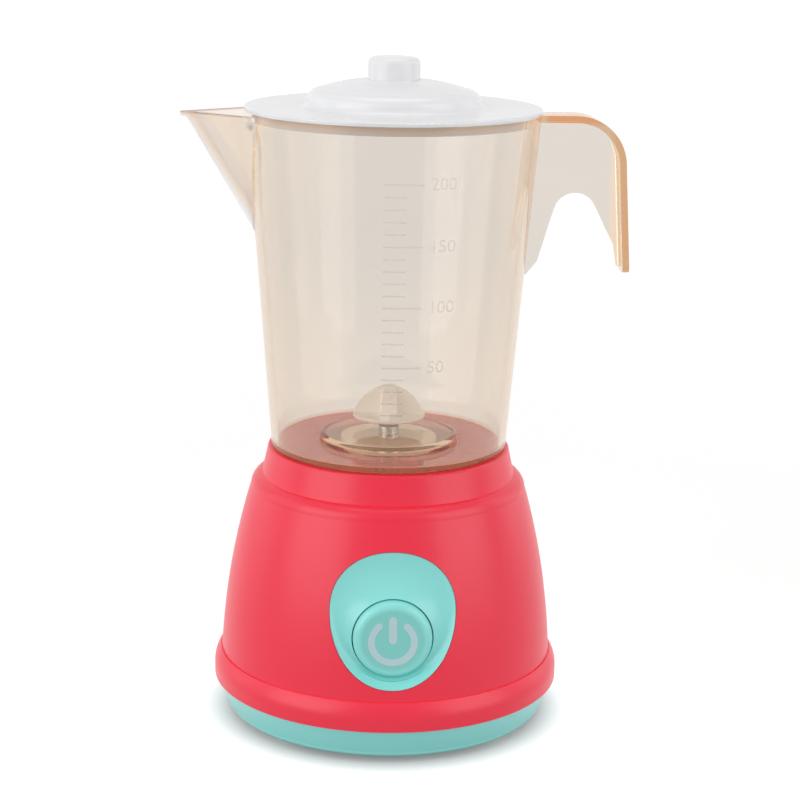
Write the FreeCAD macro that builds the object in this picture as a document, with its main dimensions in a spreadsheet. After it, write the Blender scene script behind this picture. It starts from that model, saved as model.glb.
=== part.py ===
import FreeCAD, Part
import Sketcher
import math
import os
import re

# Toy blender, life size, in millimetres.
# Origin: on the axis, at the plane of the feet. +Z up, the button faces -Y,
# the jug's spout points to -X and its handle to +X.

SIZES = [
    # clearances
    ("fit_gap", 0.15, "between fixed pieces that seat in one another"),
    ("move_gap", 0.35, "round pieces that move"),
    ("shaft_gap", 0.05, "radial, round a turning shaft"),
    ("press_gap", 0.02, "radial, round a pressed-on shaft"),
    ("boss_wall", 0.8, "wall beside a screw head"),
    # base plate
    ("feet_drop", 2.2, "height of the four foot nubs"),
    ("foot_r", 3.4, "foot nub radius"),
    ("foot_inset", 7.2, "foot nubs, in from the underside's edge"),
    ("foot_round", 0.8, "rounded edge of a foot nub"),
    ("skirt_flare", 3.3, "underside radius less than the seam radius"),
    ("plate_edge_round", 1.4, "rounded lower edge"),
    ("plate_floor", 2.0, "floor thickness"),
    ("plate_wall", 2.0, "skirt thickness"),
    ("skirt_rise", 9.3, "underside to seam"),
    ("seam_r", 52.5, "outer radius at the seam"),
    ("tongue_rise", 2.4, "lip that registers in the housing"),
    ("tongue_wall", 1.6, "thickness of that lip"),
    # housing
    ("housing_wall", 2.0, "wall of the housing"),
    ("flange_over", 0.6, "flange band beyond the seam radius"),
    ("flange_band", 3.0, "upright part of the band"),
    ("flange_height", 8.4, "seam to the crease over the band"),
    ("crease_in", 1.9, "end of the band's rounding, in from the band"),
    ("flange_round_r", 8.6, "rounding of the band's upper edge"),
    ("crease_ledge", 0.4, "ledge at the crease"),
    ("wall_bulge_r", 219.0, "bow of the housing wall"),
    ("wall_height", 60.0, "seam to the shoulder edge"),
    ("wall_lean", 8.9, "wall foot to shoulder edge, inwards"),
    ("shoulder_rise", 3.9, "height of the rounded shoulder"),
    ("shoulder_round_r", 4.2, "rounding of the shoulder"),
    ("shoulder_run", 3.4, "shoulder edge to the foot of the collar"),
    ("collar_taper", 1.8, "foot to top of the collar, inwards"),
    ("collar_height", 8.6, "foot to top of the collar"),
    ("collar_round", 0.7, "rounded top edge of the collar"),
    ("deck_thick", 2.2, "deck that the jug stands on"),
    ("well_depth", 4.4, "round well in the deck"),
    ("well_floor", 2.0, "floor of the well"),
    ("key_width", 4.0, "ribs that stop the jug turning"),
    ("key_depth", 1.7, "how far the ribs stand in"),
    ("key_height", 3.6, "height of the ribs"),
    # fasteners that join plate and housing
    ("column_inset", 9.8, "screw columns, in from the wall's foot"),
    ("column_angle", 30.0, "screw columns, degrees from the X axis"),
    ("column_r", 3.6, "screw column radius"),
    ("column_rise", 4.2, "plate floor to the foot of a column"),
    ("column_length", 47.0, "length of a screw column"),
    ("cup_wall", 1.6, "wall of the cup under a column"),
    ("screw_r", 1.1, "radius of every screw shank"),
    ("screw_head_r", 2.4, "radius of every screw head"),
    ("screw_head_high", 1.6, "height of every screw head"),
    ("base_screw_length", 12.0, "shank of a base screw"),
    # cells, contacts and battery door
    ("cell_r", 7.25, "AA cell radius"),
    ("cell_length", 50.5, "AA cell length with its cap"),
    ("cell_cap_r", 2.75, "positive cap radius"),
    ("cell_cap_high", 1.2, "positive cap height"),
    ("cell_gap", 0.9, "between the two cells"),
    ("contact_sheet", 0.5, "contact sheet thickness"),
    ("contact_width", 9.0, "contact width"),
    ("contact_half_high", 5.0, "contact sheet below the middle of a cell"),
    ("leaf_half_long", 4.0, "half length of a bowed leaf or dimple"),
    ("leaf_crest", 1.2, "half length of its crest"),
    ("leaf_depth", 2.4, "bow of a negative contact"),
    ("dimple_depth", 0.6, "dimple of a positive contact"),
    ("tag_rise", 3.2, "solder tag above the bay's roof"),
    ("tag_width", 3.0, "width of a solder tag"),
    ("bay_wall", 1.5, "wall of the cell bay"),
    ("door_step", 1.0, "depth of the door's recess"),
    ("door_lap", 3.2, "lap of the door round its opening"),
    ("door_screw_lap", 9.4, "lap at the screw's end"),
    ("door_corner", 2.5, "corner radius of the door"),
    ("door_tab_width", 6.0, "width of a door tab"),
    ("door_tab_reach", 1.2, "reach of a door tab"),
    ("door_tab_y", 8.0, "door tabs, either side of the middle"),
    ("door_screw_shift", 0.6, "door screw, out from the middle of its lap"),
    ("door_screw_length", 7.0, "shank of the door screw"),
    # bezel, button and switch
    ("bezel_half_wide", 18.4, "half width of the egg"),
    ("bezel_up", 17.6, "egg above its widest line"),
    ("bezel_down", 22.45, "egg below its widest line"),
    ("bezel_fullness", 2.1, "2 is an ellipse, more is fuller toward a rectangle"),
    ("bezel_rise", 7.8, "widest line above the button's axis"),
    ("bezel_thick", 2.6, "bezel wall"),
    ("bezel_sag", 1.2, "how deep the dish is scooped"),
    ("bezel_lap", 1.8, "flange behind the housing wall"),
    ("bezel_lap_thick", 1.4, "thickness of that flange"),
    ("bezel_cut_over", 5.0, "the opening's cutter reaches past the housing"),
    ("button_rise", 26.5, "seam to the button's axis"),
    ("ring_inset", 4.8, "bezel at the button, in from the wall's foot"),
    ("button_r", 11.55, "button radius"),
    ("button_proud", 2.6, "button face before the bezel"),
    ("button_round", 2.1, "rounded edge of the button"),
    ("button_wall", 1.6, "button wall"),
    ("button_lap", 0.9, "retaining flange of the button"),
    ("button_lap_thick", 1.4, "thickness of that flange"),
    ("button_lap_gap", 0.85, "that flange behind the bezel's ring"),
    ("button_travel", 2.0, "travel of the button"),
    ("stem_r", 3.0, "stem in the button"),
    ("stem_in", 6.3, "end of the stem behind the bezel's front"),
    ("bracket_in", 11.0, "front of the switch bracket behind the bezel's front"),
    ("bracket_thick", 2.0, "switch bracket thickness"),
    ("bracket_neck", 9.0, "height over which the bracket widens"),
    ("bracket_corner", 4.0, "rounded upper corners of the bracket"),
    ("bracket_foot_half", 9.0, "half width of the bracket's foot"),
    ("bracket_up", 10.0, "bracket above the button's axis"),
    ("post_clear", 0.95, "bezel posts clear of the button's flange"),
    ("post_root", 0.4, "start of the posts inside the bezel's wall"),
    ("post_cap", 2.0, "solid length of a post in front of its pilot"),
    ("post_r", 2.0, "bezel post radius"),
    ("switch_side", 8.5, "switch body, square"),
    ("switch_lap", 1.0, "front flange of the switch"),
    ("switch_deep", 8.0, "switch body behind the bracket's front"),
    ("plunger_r", 1.6, "switch plunger"),
    ("plunger_inside", 6.0, "plunger inside the switch"),
    ("terminal_long", 3.5, "solder tags of switch and motor"),
    ("terminal_half_wide", 0.9, "half width of a solder tag"),
    ("terminal_half_thick", 0.3, "half thickness of a solder tag"),
    ("terminal_pitch", 4.4, "between the switch's solder tags"),
    ("rib_rise", 4.6, "ribs that hold the bracket's foot"),
    ("rib_thick", 1.5, "thickness of those ribs"),
    ("switch_screw_length", 6.0, "shank of a switch screw"),
    # motor
    ("motor_r", 10.05, "motor can"),
    ("motor_flat", 7.55, "half width over the can's flats"),
    ("can_length", 19.4, "steel can"),
    ("can_window_low", 5.0, "windows in the flats, lower edge below the can's top"),
    ("can_window_high", 2.4, "windows in the flats, upper edge below the can's top"),
    ("can_window_wide", 6.0, "width of a window"),
    ("end_cap_inset", 0.25, "end cap inside the outline of the can"),
    ("end_cap_length", 5.6, "plastic end cap"),
    ("motor_boss_r", 3.05, "bearing bosses of the motor"),
    ("motor_boss_high", 1.5, "height of a bearing boss"),
    ("motor_shaft_r", 1.0, "motor shaft"),
    ("shaft_in_can", 8.0, "motor shaft inside the can"),
    ("strap_thick", 1.5, "motor strap"),
    ("strap_half_wide", 5.0, "half width of the strap"),
    ("strap_ear", 7.0, "ear of the strap"),
    ("motor_pillar", 5.0, "pillars under the well for the strap"),
    ("ear_screw", 4.0, "strap screws, out from the strap"),
    ("motor_screw_length", 4.5, "shank of a strap screw"),
    ("motor_tag_inset", 2.65, "solder tags, in from the can"),
    # drive
    ("arm_past", 1.4, "end of the drive arm past the middle of the lug"),
    ("arm_half_wide", 2.2, "drive arm, half width"),
    ("arm_high", 2.4, "drive arm height"),
    ("arm_hub_r", 3.6, "drive arm hub"),
    ("arm_clear", 1.0, "drive arm above the well's floor"),
    ("arm_lag", 36.0, "angle between arm and lug, degrees"),
    ("disc_r", 14.5, "driven disc"),
    ("disc_thick", 1.5, "driven disc thickness"),
    ("lug_inset", 3.5, "middle of the lug, in from the disc's edge"),
    ("lug_radial", 4.4, "lug along the radius"),
    ("lug_across", 6.4, "lug across the radius"),
    ("lug_drop", 3.0, "lug under the disc"),
    ("lug_wall", 1.0, "wall of the cored lug"),
    ("lug_angle", 24.4, "where the lug stands at rest, degrees from +X"),
    ("washer_thick", 0.4, "thrust washer"),
    ("washer_r", 3.0, "thrust washer radius"),
    ("end_play", 0.2, "end play of the rotor shaft"),
    # jug
    ("jug_wall", 2.0, "wall of the jug"),
    ("jug_floor", 1.8, "floor of the jug"),
    ("deck_rim", 1.0, "deck left free round the jug"),
    ("jug_flare", 7.9, "floor to rim, outwards"),
    ("jug_height", 101.2, "deck to rim"),
    ("jug_low_round", 1.2, "rounded lower edge"),
    ("platform_r", 21.0, "raised platform in the floor"),
    ("platform_rise", 4.2, "platform above the deck"),
    ("platform_round", 1.2, "rounded edge of the platform"),
    ("spigot_drop", 4.0, "platform wall below the floor, in the well"),
    ("bush_r", 3.05, "metal bush"),
    ("bush_above", 2.1, "bush above the platform"),
    ("bush_below", 0.4, "bush below the platform"),
    # spout
    ("spout_out", 18.9, "spout tip, out from the rim"),
    ("spout_half_wide", 15.8, "half width where it leaves the rim"),
    ("spout_in", 2.6, "back of the spout, in from where it leaves the rim"),
    ("spout_lip", 1.4, "height of the blunt lip along the spout's edge"),
    ("spout_lip_over", 1.7, "how far the lip's tip stands out past the keel"),
    ("spout_drop", 37.6, "from the lip to the point where keel and back meet"),
    ("spout_tip_r", 2.0, "rounded tip"),
    ("spout_wall", 1.8, "wall of the spout"),
    ("spout_below_rim", 0.9, "spout edge below the rim"),
    # handle
    ("handle_below_rim", 0.5, "handle top below the rim"),
    ("handle_thick", 2.0, "flange strip of the handle"),
    ("handle_half_wide", 5.5, "half width of the strip"),
    ("handle_out", 25.2, "outside of the handle, out from the rim"),
    ("handle_flare", 2.1, "how far the foot stands out further"),
    ("handle_corner", 15.0, "outer corner radius"),
    ("handle_drop", 46.7, "length of the handle"),
    ("handle_end_round", 2.4, "rounded foot of the strip"),
    ("web_thick", 1.9, "web in the handle's middle"),
    ("web_lip", 1.4, "web standing in from the strip, below the arch"),
    ("web_lip_drop", 12.5, "where that lip starts, below the arch's round top"),
    ("web_lip_end", 1.6, "where it ends, above the foot of the handle"),
    ("web_foot_drop", 48.0, "web's lower end on the jug, below the handle top"),
    ("arch_drop", 23.2, "top of the finger arch, below the handle top"),
    ("arch_out", 14.4, "middle of the arch, in from the outside of the handle"),
    ("arch_top_half", 5.6, "half width of the arch where its round top ends"),
    ("arch_round_r", 6.5, "round top of the arch"),
    ("arch_low_out", 4.8, "arch on the jug's side at its foot, out from the web's foot"),
    # rotor
    ("rotor_gap", 2.4, "bush to rotor"),
    ("rotor_disc_r", 10.9, "rotor disc"),
    ("rotor_disc_thick", 1.3, "rotor disc thickness"),
    ("rotor_height", 9.5, "underside to hub top"),
    ("rotor_hub_r", 2.8, "rotor hub"),
    ("rotor_collar_r", 2.7, "collar under the rotor"),
    ("rotor_collar_drop", 1.1, "height of that collar"),
    ("fin_thick", 2.4, "fin thickness"),
    ("fin_bulge_r", 13.5, "radius of the fin's bowed edge"),
    ("fin_lead_angle", 80.4, "where a fin stands at rest, degrees from +X"),
    ("rotor_shaft_r", 1.0, "rotor shaft"),
    ("rotor_cover", 2.4, "rotor hub above the shaft's end"),
    # lid
    ("lid_over", 0.3, "lid rim beyond the jug's rim"),
    ("lid_edge", 1.3, "thickness of the lid's rim"),
    ("lid_wall", 1.5, "wall of the lid's centre"),
    ("lid_skirt_drop", 2.8, "ring that drops into the jug"),
    ("lid_skirt_wall", 1.4, "thickness of that ring"),
    ("lid_brim", 18.3, "width of the lid's flat rim"),
    ("lid_step_run", 3.0, "foot of the raised centre to the edge of the crown"),
    ("lid_step_high", 4.9, "raised centre above the rim, at its edge"),
    ("lid_step_round", 3.4, "rounded edge of the raised centre"),
    ("lid_foot_round", 2.2, "hollow at the foot of the raised centre"),
    ("lid_crown_rise", 3.0, "crown to the knob"),
    ("lid_crown_bow", 60.0, "bow of the crown"),
    ("knob_r", 7.7, "knob"),
    ("knob_high", 6.4, "knob above the crown"),
    ("knob_round", 1.9, "rounded top edge of the knob"),
    # leads
    ("lead_r", 0.65, "insulated lead"),
    ("lead_bend", 3.0, "bend of a lead"),
    ("lead_rise", 6.8, "battery leads turn in above their tags"),
    ("lead_run", 9.0, "straight run of the leads behind the switch"),
]

NAMES = [row[0] for row in SIZES]
WORD = re.compile(r"[A-Za-z_]\w*")

# Heights, radii and places that follow from the sizes.
LINKS = {
    # heights of the base
    "seam_z": "feet_drop + skirt_rise",
    "crease_z": "seam_z + flange_height",
    "shoulder_z": "seam_z + wall_height",
    "collar_z": "shoulder_z + shoulder_rise",
    "deck_z": "collar_z + collar_height",
    "well_z": "deck_z - well_depth",
    "well_under_z": "well_z - well_floor",
    "floor_z": "feet_drop + plate_floor",
    "cup_z": "floor_z + column_rise",
    # radii of the base
    "plate_low_r": "seam_r - skirt_flare",
    "foot_circle_r": "plate_low_r - foot_inset",
    "flange_r": "seam_r + flange_over",
    "crease_r": "flange_r - crease_in",
    "wall_low_r": "crease_r - crease_ledge",
    "shoulder_r": "wall_low_r - wall_lean",
    "collar_low_r": "shoulder_r - shoulder_run",
    "collar_top_r": "collar_low_r - collar_taper",
    "well_r": "platform_r + move_gap",
    "column_x": "(wall_low_r - column_inset) * cos(column_angle)",
    "column_y": "(wall_low_r - column_inset) * sin(column_angle)",
    # cell bay
    "cell_z": "floor_z + fit_gap + cell_r",
    "cell_y": "cell_r + cell_gap / 2",
    "cell_shift": "(leaf_depth - dimple_depth) / 2",
    "bay_x": "(cell_length + leaf_depth + dimple_depth) / 2 + contact_sheet + fit_gap",
    "bay_y": "2 * cell_r + cell_gap / 2 + move_gap",
    "bay_z": "cell_z + cell_r + fit_gap",
    "roof_z": "bay_z + bay_wall",
    "tag_z": "roof_z + tag_rise",
    "door_screw_x": "bay_x + door_screw_lap / 2 + door_screw_shift",
    # bezel, button and switch
    "button_z": "seam_z + button_rise",
    "bezel_z": "button_z + bezel_rise",
    "ring_r": "button_r + move_gap",
    "ring_front": "wall_low_r - ring_inset",
    "ring_back": "ring_front - bezel_thick",
    "stem_foot": "ring_front - stem_in",
    "bracket_front": "ring_front - bracket_in",
    "post_x": "button_r + button_lap + post_clear + post_r",
    "bracket_half_wide": "post_x + screw_head_r + boss_wall",
    # motor and drive
    "motor_top_z": "well_under_z - fit_gap",
    "can_z": "motor_top_z - can_length",
    "end_cap_z": "can_z - end_cap_length",
    "pillar_z": "well_under_z - motor_pillar",
    "strap_y": "motor_flat + fit_gap",
    "motor_screw_y": "strap_y + strap_thick + ear_screw",
    "motor_tag_x": "motor_r - motor_tag_inset",
    "arm_z": "well_z + arm_clear",
    "lug_r": "disc_r - lug_inset",
    "arm_half_long": "lug_r + arm_past",
    # jug and rotor
    "jug_low_r": "collar_top_r - deck_rim",
    "jug_rim_r": "jug_low_r + jug_flare",
    "jug_slope": "jug_flare / jug_height",
    "platform_z": "deck_z + platform_rise",
    "ceiling_z": "platform_z - jug_floor",
    "bush_low_z": "ceiling_z - bush_below",
    "bush_top_z": "platform_z + bush_above",
    "disc_top_z": "bush_low_z - end_play - washer_thick",
    "disc_z": "disc_top_z - disc_thick",
    "rotor_z": "bush_top_z + rotor_gap",
    "rim_z": "deck_z + jug_height",
    "spout_z": "rim_z - spout_below_rim",
    "keel_top_z": "spout_z - spout_lip",
    "keel_z": "keel_top_z - spout_drop",
    "spout_reach": "jug_rim_r + spout_out",
    "keel_reach": "spout_reach - spout_lip_over",
    "spout_wall_x": "sqrt(jug_rim_r ^ 2 - spout_half_wide ^ 2)",
    "spout_root": "spout_wall_x - spout_in",
    "handle_z": "rim_z - handle_below_rim",
    "handle_low_z": "handle_z - handle_drop",
    "handle_reach": "jug_rim_r + handle_out",
    "web_foot_z": "handle_z - web_foot_drop",
    "web_foot_x": "jug_low_r + jug_slope * (web_foot_z - deck_z) - jug_wall / 2",
    "arch_top_x": "handle_reach - arch_out",
    "arch_z": "handle_z - arch_drop",
    "flank_z": "arch_z - arch_round_r + sqrt(arch_round_r ^ 2 - arch_top_half ^ 2)",
    "arch_low_x": "web_foot_x + arch_low_out",
    # lid
    "lid_r": "jug_rim_r + lid_over",
    "lid_step_r": "lid_r - lid_brim",
    "lid_crown_r": "lid_step_r - lid_step_run",
    "lid_z": "rim_z + lid_edge",
    "crown_z": "lid_z + lid_step_high",
    "knob_low_z": "crown_z + lid_crown_rise",
    "knob_z": "knob_low_z + knob_high",
    # leads
    "lead_high_z": "tag_z + lead_rise",
    "lead_slack_y": "bracket_front - switch_deep - terminal_long - lead_run",
}
CORNERS = [("1", "1"), ("-1", "1"), ("-1", "-1"), ("1", "-1")]
FORWARD = FreeCAD.Rotation(FreeCAD.Vector(1, 0, 0), 90)
ALONG_X = FreeCAD.Rotation(FreeCAD.Vector(0, 1, 0), 90)
ALONG_MINUS_X = FreeCAD.Rotation(FreeCAD.Vector(0, 1, 0), -90)

doc = FreeCAD.newDocument("ToyBlender")
sheet = doc.addObject("Spreadsheet::Sheet", "Sizes")
PARTS = []


# ---------------------------------------------------------------- sheet and formulas

def fill_sheet():
    """Write every size into the sheet under its alias."""
    for row, (name, value, note) in enumerate(SIZES, start=1):
        sheet.set(f"A{row}", name)
        sheet.set(f"B{row}", str(value))
        sheet.set(f"C{row}", note)
        sheet.setAlias(f"B{row}", name)
    doc.recompute()


def spelled_out(text):
    """Write every linked name out as a formula of the sizes."""
    while any(word in LINKS for word in WORD.findall(text)):
        text = WORD.sub(lambda word: f"({LINKS[word[0]]})" if word[0] in LINKS else word[0], text)
    return text


def formula(text):
    """Turn size names into references to the sheet's cells."""
    text = spelled_out(text)
    return WORD.sub(lambda word: f"Sizes.{word[0]}" if word[0] in NAMES else word[0], text)


def number(text):
    """The value of a formula."""
    result = sheet.evalExpression(formula(text))
    return float(getattr(result, "Value", result))


def bind(thing, prop, text):
    """Tie a property to a formula of the sizes."""
    if any(name in NAMES for name in WORD.findall(spelled_out(text))):
        thing.setExpression(prop, formula(text))


# ---------------------------------------------------------------- sketches

def new_body(label):
    """An empty body that will be written as one node."""
    body = doc.addObject("PartDesign::Body", "Body_" + label)
    body.Label = label
    PARTS.append(body)
    return body


def place(thing, x="0", y="0", z="0", turn=None):
    """Put a piece where its own origin belongs."""
    spot = FreeCAD.Vector(number(x), number(y), number(z))
    thing.Placement = FreeCAD.Placement(spot, turn or FreeCAD.Rotation())
    bind(thing, "Placement.Base.x", x)
    bind(thing, "Placement.Base.y", y)
    bind(thing, "Placement.Base.z", z)


def sketch_on(body, name, plane, offset="0"):
    """A sketch on one of the body's own planes, moved along its normal."""
    sketch = body.newObject("Sketcher::SketchObject", name)
    origin_plane = [f for f in body.Origin.OriginFeatures if f.Role == plane + "_Plane"][0]
    sketch.AttachmentSupport = [(origin_plane, "")]
    sketch.MapMode = "FlatFace"
    sketch.AttachmentOffset = FreeCAD.Placement(
        FreeCAD.Vector(0, 0, number(offset)), FreeCAD.Rotation())
    bind(sketch, "AttachmentOffset.Base.z", offset)
    return sketch


def fix(sketch, kind, target, text):
    """A dimension with its formula."""
    index = sketch.addConstraint(Sketcher.Constraint(kind, *target, number(text)))
    name = f"{kind}{index}"
    sketch.renameConstraint(index, name)
    bind(sketch, "Constraints." + name, text)


def arc_between(start, end, radius, turn):
    """The short arc from start to end; turn is 1 to the left and -1 to the right."""
    chord = end - start
    rise = math.sqrt(max(radius ** 2 - chord.Length ** 2 / 4, 0))
    left = FreeCAD.Vector(-chord.y, chord.x, 0).normalize()
    centre = (start + end) * 0.5 + left * (rise * turn)
    first, last = (start, end) if turn > 0 else (end, start)
    angles = [math.atan2(p.y - centre.y, p.x - centre.x) for p in (first, last)]
    circle = Part.Circle(centre, FreeCAD.Vector(0, 0, 1), radius)
    return Part.ArcOfCircle(circle, angles[0], angles[1])


def outline(sketch, corners):
    """A closed outline. A corner is (x, y) after a straight edge, or (x, y, radius, turn)
    after an arc."""
    points = [FreeCAD.Vector(number(c[0]), number(c[1]), 0) for c in corners]
    edges = []
    for index, corner in enumerate(corners):
        start, end = points[index - 1], points[index]
        if len(corner) == 2:
            edge = sketch.addGeometry(Part.LineSegment(start, end), False)
            edges.append((edge, 1, 2))
        else:
            arc = arc_between(start, end, number(corner[2]), corner[3])
            edge = sketch.addGeometry(arc, False)
            edges.append((edge, 1, 2) if corner[3] > 0 else (edge, 2, 1))
    for index, (edge, begin, finish) in enumerate(edges):
        before = edges[index - 1]
        sketch.addConstraint(Sketcher.Constraint("Coincident", before[0], before[2], edge, begin))
        fix(sketch, "DistanceX", (-1, 1, edge, finish), corners[index][0])
        fix(sketch, "DistanceY", (-1, 1, edge, finish), corners[index][1])
        if len(corners[index]) > 2:
            fix(sketch, "Radius", (edge,), corners[index][2])


def circle(sketch, x, y, radius):
    """A circle at (x, y)."""
    centre = FreeCAD.Vector(number(x), number(y), 0)
    edge = sketch.addGeometry(Part.Circle(centre, FreeCAD.Vector(0, 0, 1), number(radius)), False)
    fix(sketch, "DistanceX", (-1, 1, edge, 3), x)
    fix(sketch, "DistanceY", (-1, 1, edge, 3), y)
    fix(sketch, "Radius", (edge,), radius)


def box_outline(sketch, x_low, x_high, y_low, y_high):
    """A rectangle between two corners."""
    outline(sketch, [(x_high, y_low), (x_high, y_high), (x_low, y_high), (x_low, y_low)])


def round_box(sketch, x_low, x_high, y_low, y_high, corner):
    """A rectangle with rounded corners."""
    outline(sketch, [
        (f"{x_high} - {corner}", y_low),
        (x_high, f"{y_low} + {corner}", corner, 1),
        (x_high, f"{y_high} - {corner}"),
        (f"{x_high} - {corner}", y_high, corner, 1),
        (f"{x_low} + {corner}", y_high),
        (x_low, f"{y_high} - {corner}", corner, 1),
        (x_low, f"{y_low} + {corner}"),
        (f"{x_low} + {corner}", y_low, corner, 1)])


# ---------------------------------------------------------------- features

def volume(body):
    doc.recompute()
    return body.Shape.Volume


def pad(body, name, sketch, length, back=False, both=False):
    """Add material along the sketch's normal."""
    feature = body.newObject("PartDesign::Pad", name)
    feature.Profile = sketch
    feature.Length = number(length)
    bind(feature, "Length", length)
    feature.Reversed = back
    if both:
        feature.SideType = "Symmetric"
    body.Tip = feature
    return feature


def pocket(body, name, sketch, length, back=False, both=False):
    """Cut into the body, against the sketch's normal; back cuts along it."""
    before = volume(body)
    feature = body.newObject("PartDesign::Pocket", name)
    feature.Profile = sketch
    feature.Length = number(length)
    bind(feature, "Length", length)
    feature.Reversed = back
    if both:
        feature.SideType = "Symmetric"
    body.Tip = feature
    if volume(body) > before - 0.001:
        raise ValueError(f"{body.Label}: {name} cuts nothing")
    return feature


def revolve(body, name, sketch):
    """Turn a sketch once round its upright axis."""
    feature = body.newObject("PartDesign::Revolution", name)
    feature.Profile = sketch
    feature.ReferenceAxis = (sketch, ["V_Axis"])
    feature.Angle = 360
    body.Tip = feature
    return feature


def groove(body, name, sketch):
    """Turn a sketch once round its upright axis, as a cut."""
    before = volume(body)
    feature = body.newObject("PartDesign::Groove", name)
    feature.Profile = sketch
    feature.ReferenceAxis = (sketch, ["V_Axis"])
    feature.Angle = 360
    body.Tip = feature
    if volume(body) > before - 0.001:
        raise ValueError(f"{body.Label}: {name} cuts nothing")
    return feature


def ring_of(body, name, feature, count):
    """Repeat a feature evenly round the upright axis."""
    pattern = body.newObject("PartDesign::PolarPattern", name)
    pattern.Originals = [feature]
    axis = [f for f in body.Origin.OriginFeatures if f.Role == "Z_Axis"][0]
    pattern.Axis = (axis, [""])
    pattern.Angle = 360
    pattern.Occurrences = count
    body.Tip = pattern
    return pattern


def round_edges(body, name, radius, chosen):
    """Fillet the edges of the body that a test picks by their middle point."""
    doc.recompute()
    base = body.Tip
    picked = []
    for index, edge in enumerate(base.Shape.Edges, start=1):
        middle = edge.valueAt((edge.FirstParameter + edge.LastParameter) / 2)
        if chosen(middle, edge):
            picked.append(f"Edge{index}")
    feature = body.newObject("PartDesign::Fillet", name)
    feature.Base = (base, picked)
    feature.Radius = number(radius)
    bind(feature, "Radius", radius)
    body.Tip = feature
    return feature


def near(value, text, slack=0.02):
    return abs(value - number(text)) < slack


def turned(label, corners):
    """A body made by turning one outline (radius, height) round the upright axis."""
    body = new_body(label)
    sketch = sketch_on(body, label + "_outline", "XZ")
    outline(sketch, corners)
    revolve(body, label + "_turned", sketch)
    return body


def screw_set(label, spots, length, x="0", y="0", z="0", turn=None):
    """Equal round-headed screws as separate solids. Local +Z runs from head to point, and
    the local zero is the seat of the head."""
    body = new_body(label)
    body.AllowCompound = True
    shanks = sketch_on(body, label + "_shanks", "XY")
    heads = sketch_on(body, label + "_heads", "XY")
    slots = sketch_on(body, label + "_slots", "XY", "-screw_head_high")
    for spot_x, spot_y in spots:
        circle(shanks, spot_x, spot_y, "screw_r")
        circle(heads, spot_x, spot_y, "screw_head_r")
        box_outline(slots, f"{spot_x} - 0.6 * screw_head_r", f"{spot_x} + 0.6 * screw_head_r",
                    f"{spot_y} - 0.15 * screw_head_r", f"{spot_y} + 0.15 * screw_head_r")
    pad(body, label + "_head", heads, "screw_head_high", back=True)
    pad(body, label + "_shank", shanks, length)
    pocket(body, label + "_slot", slots, "screw_head_high / 2", back=True)
    place(body, x, y, z, turn)
    return body


# ---------------------------------------------------------------- base

def housing_outer():
    """Outline of the housing's outside, from the seam up to the deck's edge."""
    return [
        ("flange_r", "seam_z"),
        ("flange_r", "seam_z + flange_band"),
        ("crease_r", "crease_z", "flange_round_r", 1),
        ("wall_low_r", "crease_z"),
        ("shoulder_r", "shoulder_z", "wall_bulge_r", 1),
        ("collar_low_r", "collar_z", "shoulder_round_r", 1),
        ("collar_top_r", "deck_z - collar_round"),
        ("collar_top_r - collar_round", "deck_z", "collar_round", 1)]


def make_housing_shell():
    """Moulded housing: wall, deck and well, screw columns and motor pillars."""
    body = doc.addObject("PartDesign::Body", "HousingShell")
    sketch = sketch_on(body, "housing_outline", "XZ")
    bore = "motor_boss_r + fit_gap"
    outline(sketch, housing_outer() + [
        ("well_r", "deck_z"),
        ("well_r", "well_z"),
        (bore, "well_z"),
        (bore, "well_under_z"),
        ("well_r + housing_wall", "well_under_z"),
        ("well_r + housing_wall", "deck_z - deck_thick"),
        ("collar_top_r - housing_wall", "deck_z - deck_thick"),
        ("collar_low_r - housing_wall", "collar_z - housing_wall"),
        ("shoulder_r - housing_wall", "shoulder_z"),
        ("wall_low_r - housing_wall", "crease_z", "wall_bulge_r", -1),
        ("flange_r - housing_wall", "seam_z + flange_band"),
        ("flange_r - housing_wall", "seam_z")])
    revolve(body, "housing_wall_turned", sketch)

    columns = sketch_on(body, "column_sketch", "XY", "cup_z")
    for side_x, side_y in CORNERS:
        circle(columns, f"{side_x} * column_x", f"{side_y} * column_y", "column_r")
    pad(body, "columns", columns, "column_length")
    pilots = sketch_on(body, "column_pilot_sketch", "XY", "cup_z")
    for side_x, side_y in CORNERS:
        circle(pilots, f"{side_x} * column_x", f"{side_y} * column_y", "screw_r + shaft_gap")
    pocket(body, "column_pilots", pilots, "base_screw_length", back=True)

    pillars = sketch_on(body, "pillar_sketch", "XY", "pillar_z")
    for side in ("1", "-1"):
        circle(pillars, "0", f"{side} * motor_screw_y", "screw_head_r + boss_wall")
    pad(body, "motor_pillars", pillars, "motor_pillar")
    pilots = sketch_on(body, "pillar_pilot_sketch", "XY", "pillar_z")
    for side in ("1", "-1"):
        circle(pilots, "0", f"{side} * motor_screw_y", "screw_r + shaft_gap")
    pocket(body, "pillar_pilots", pilots, "motor_screw_length", back=True)

    keys = sketch_on(body, "key_sketch", "XY", "well_z")
    box_outline(keys, "well_r - key_depth", "well_r + 0.5 * housing_wall",
                "-key_width / 2", "key_width / 2")
    key = pad(body, "well_key", keys, "key_height")
    ring_of(body, "well_keys", key, 3)
    return body


def closed_curve(points):
    """A smooth closed curve through points."""
    curve = Part.BSplineCurve()
    curve.interpolate(Points=points, PeriodicFlag=True)
    return Part.Wire([curve.toShape()])


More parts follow.
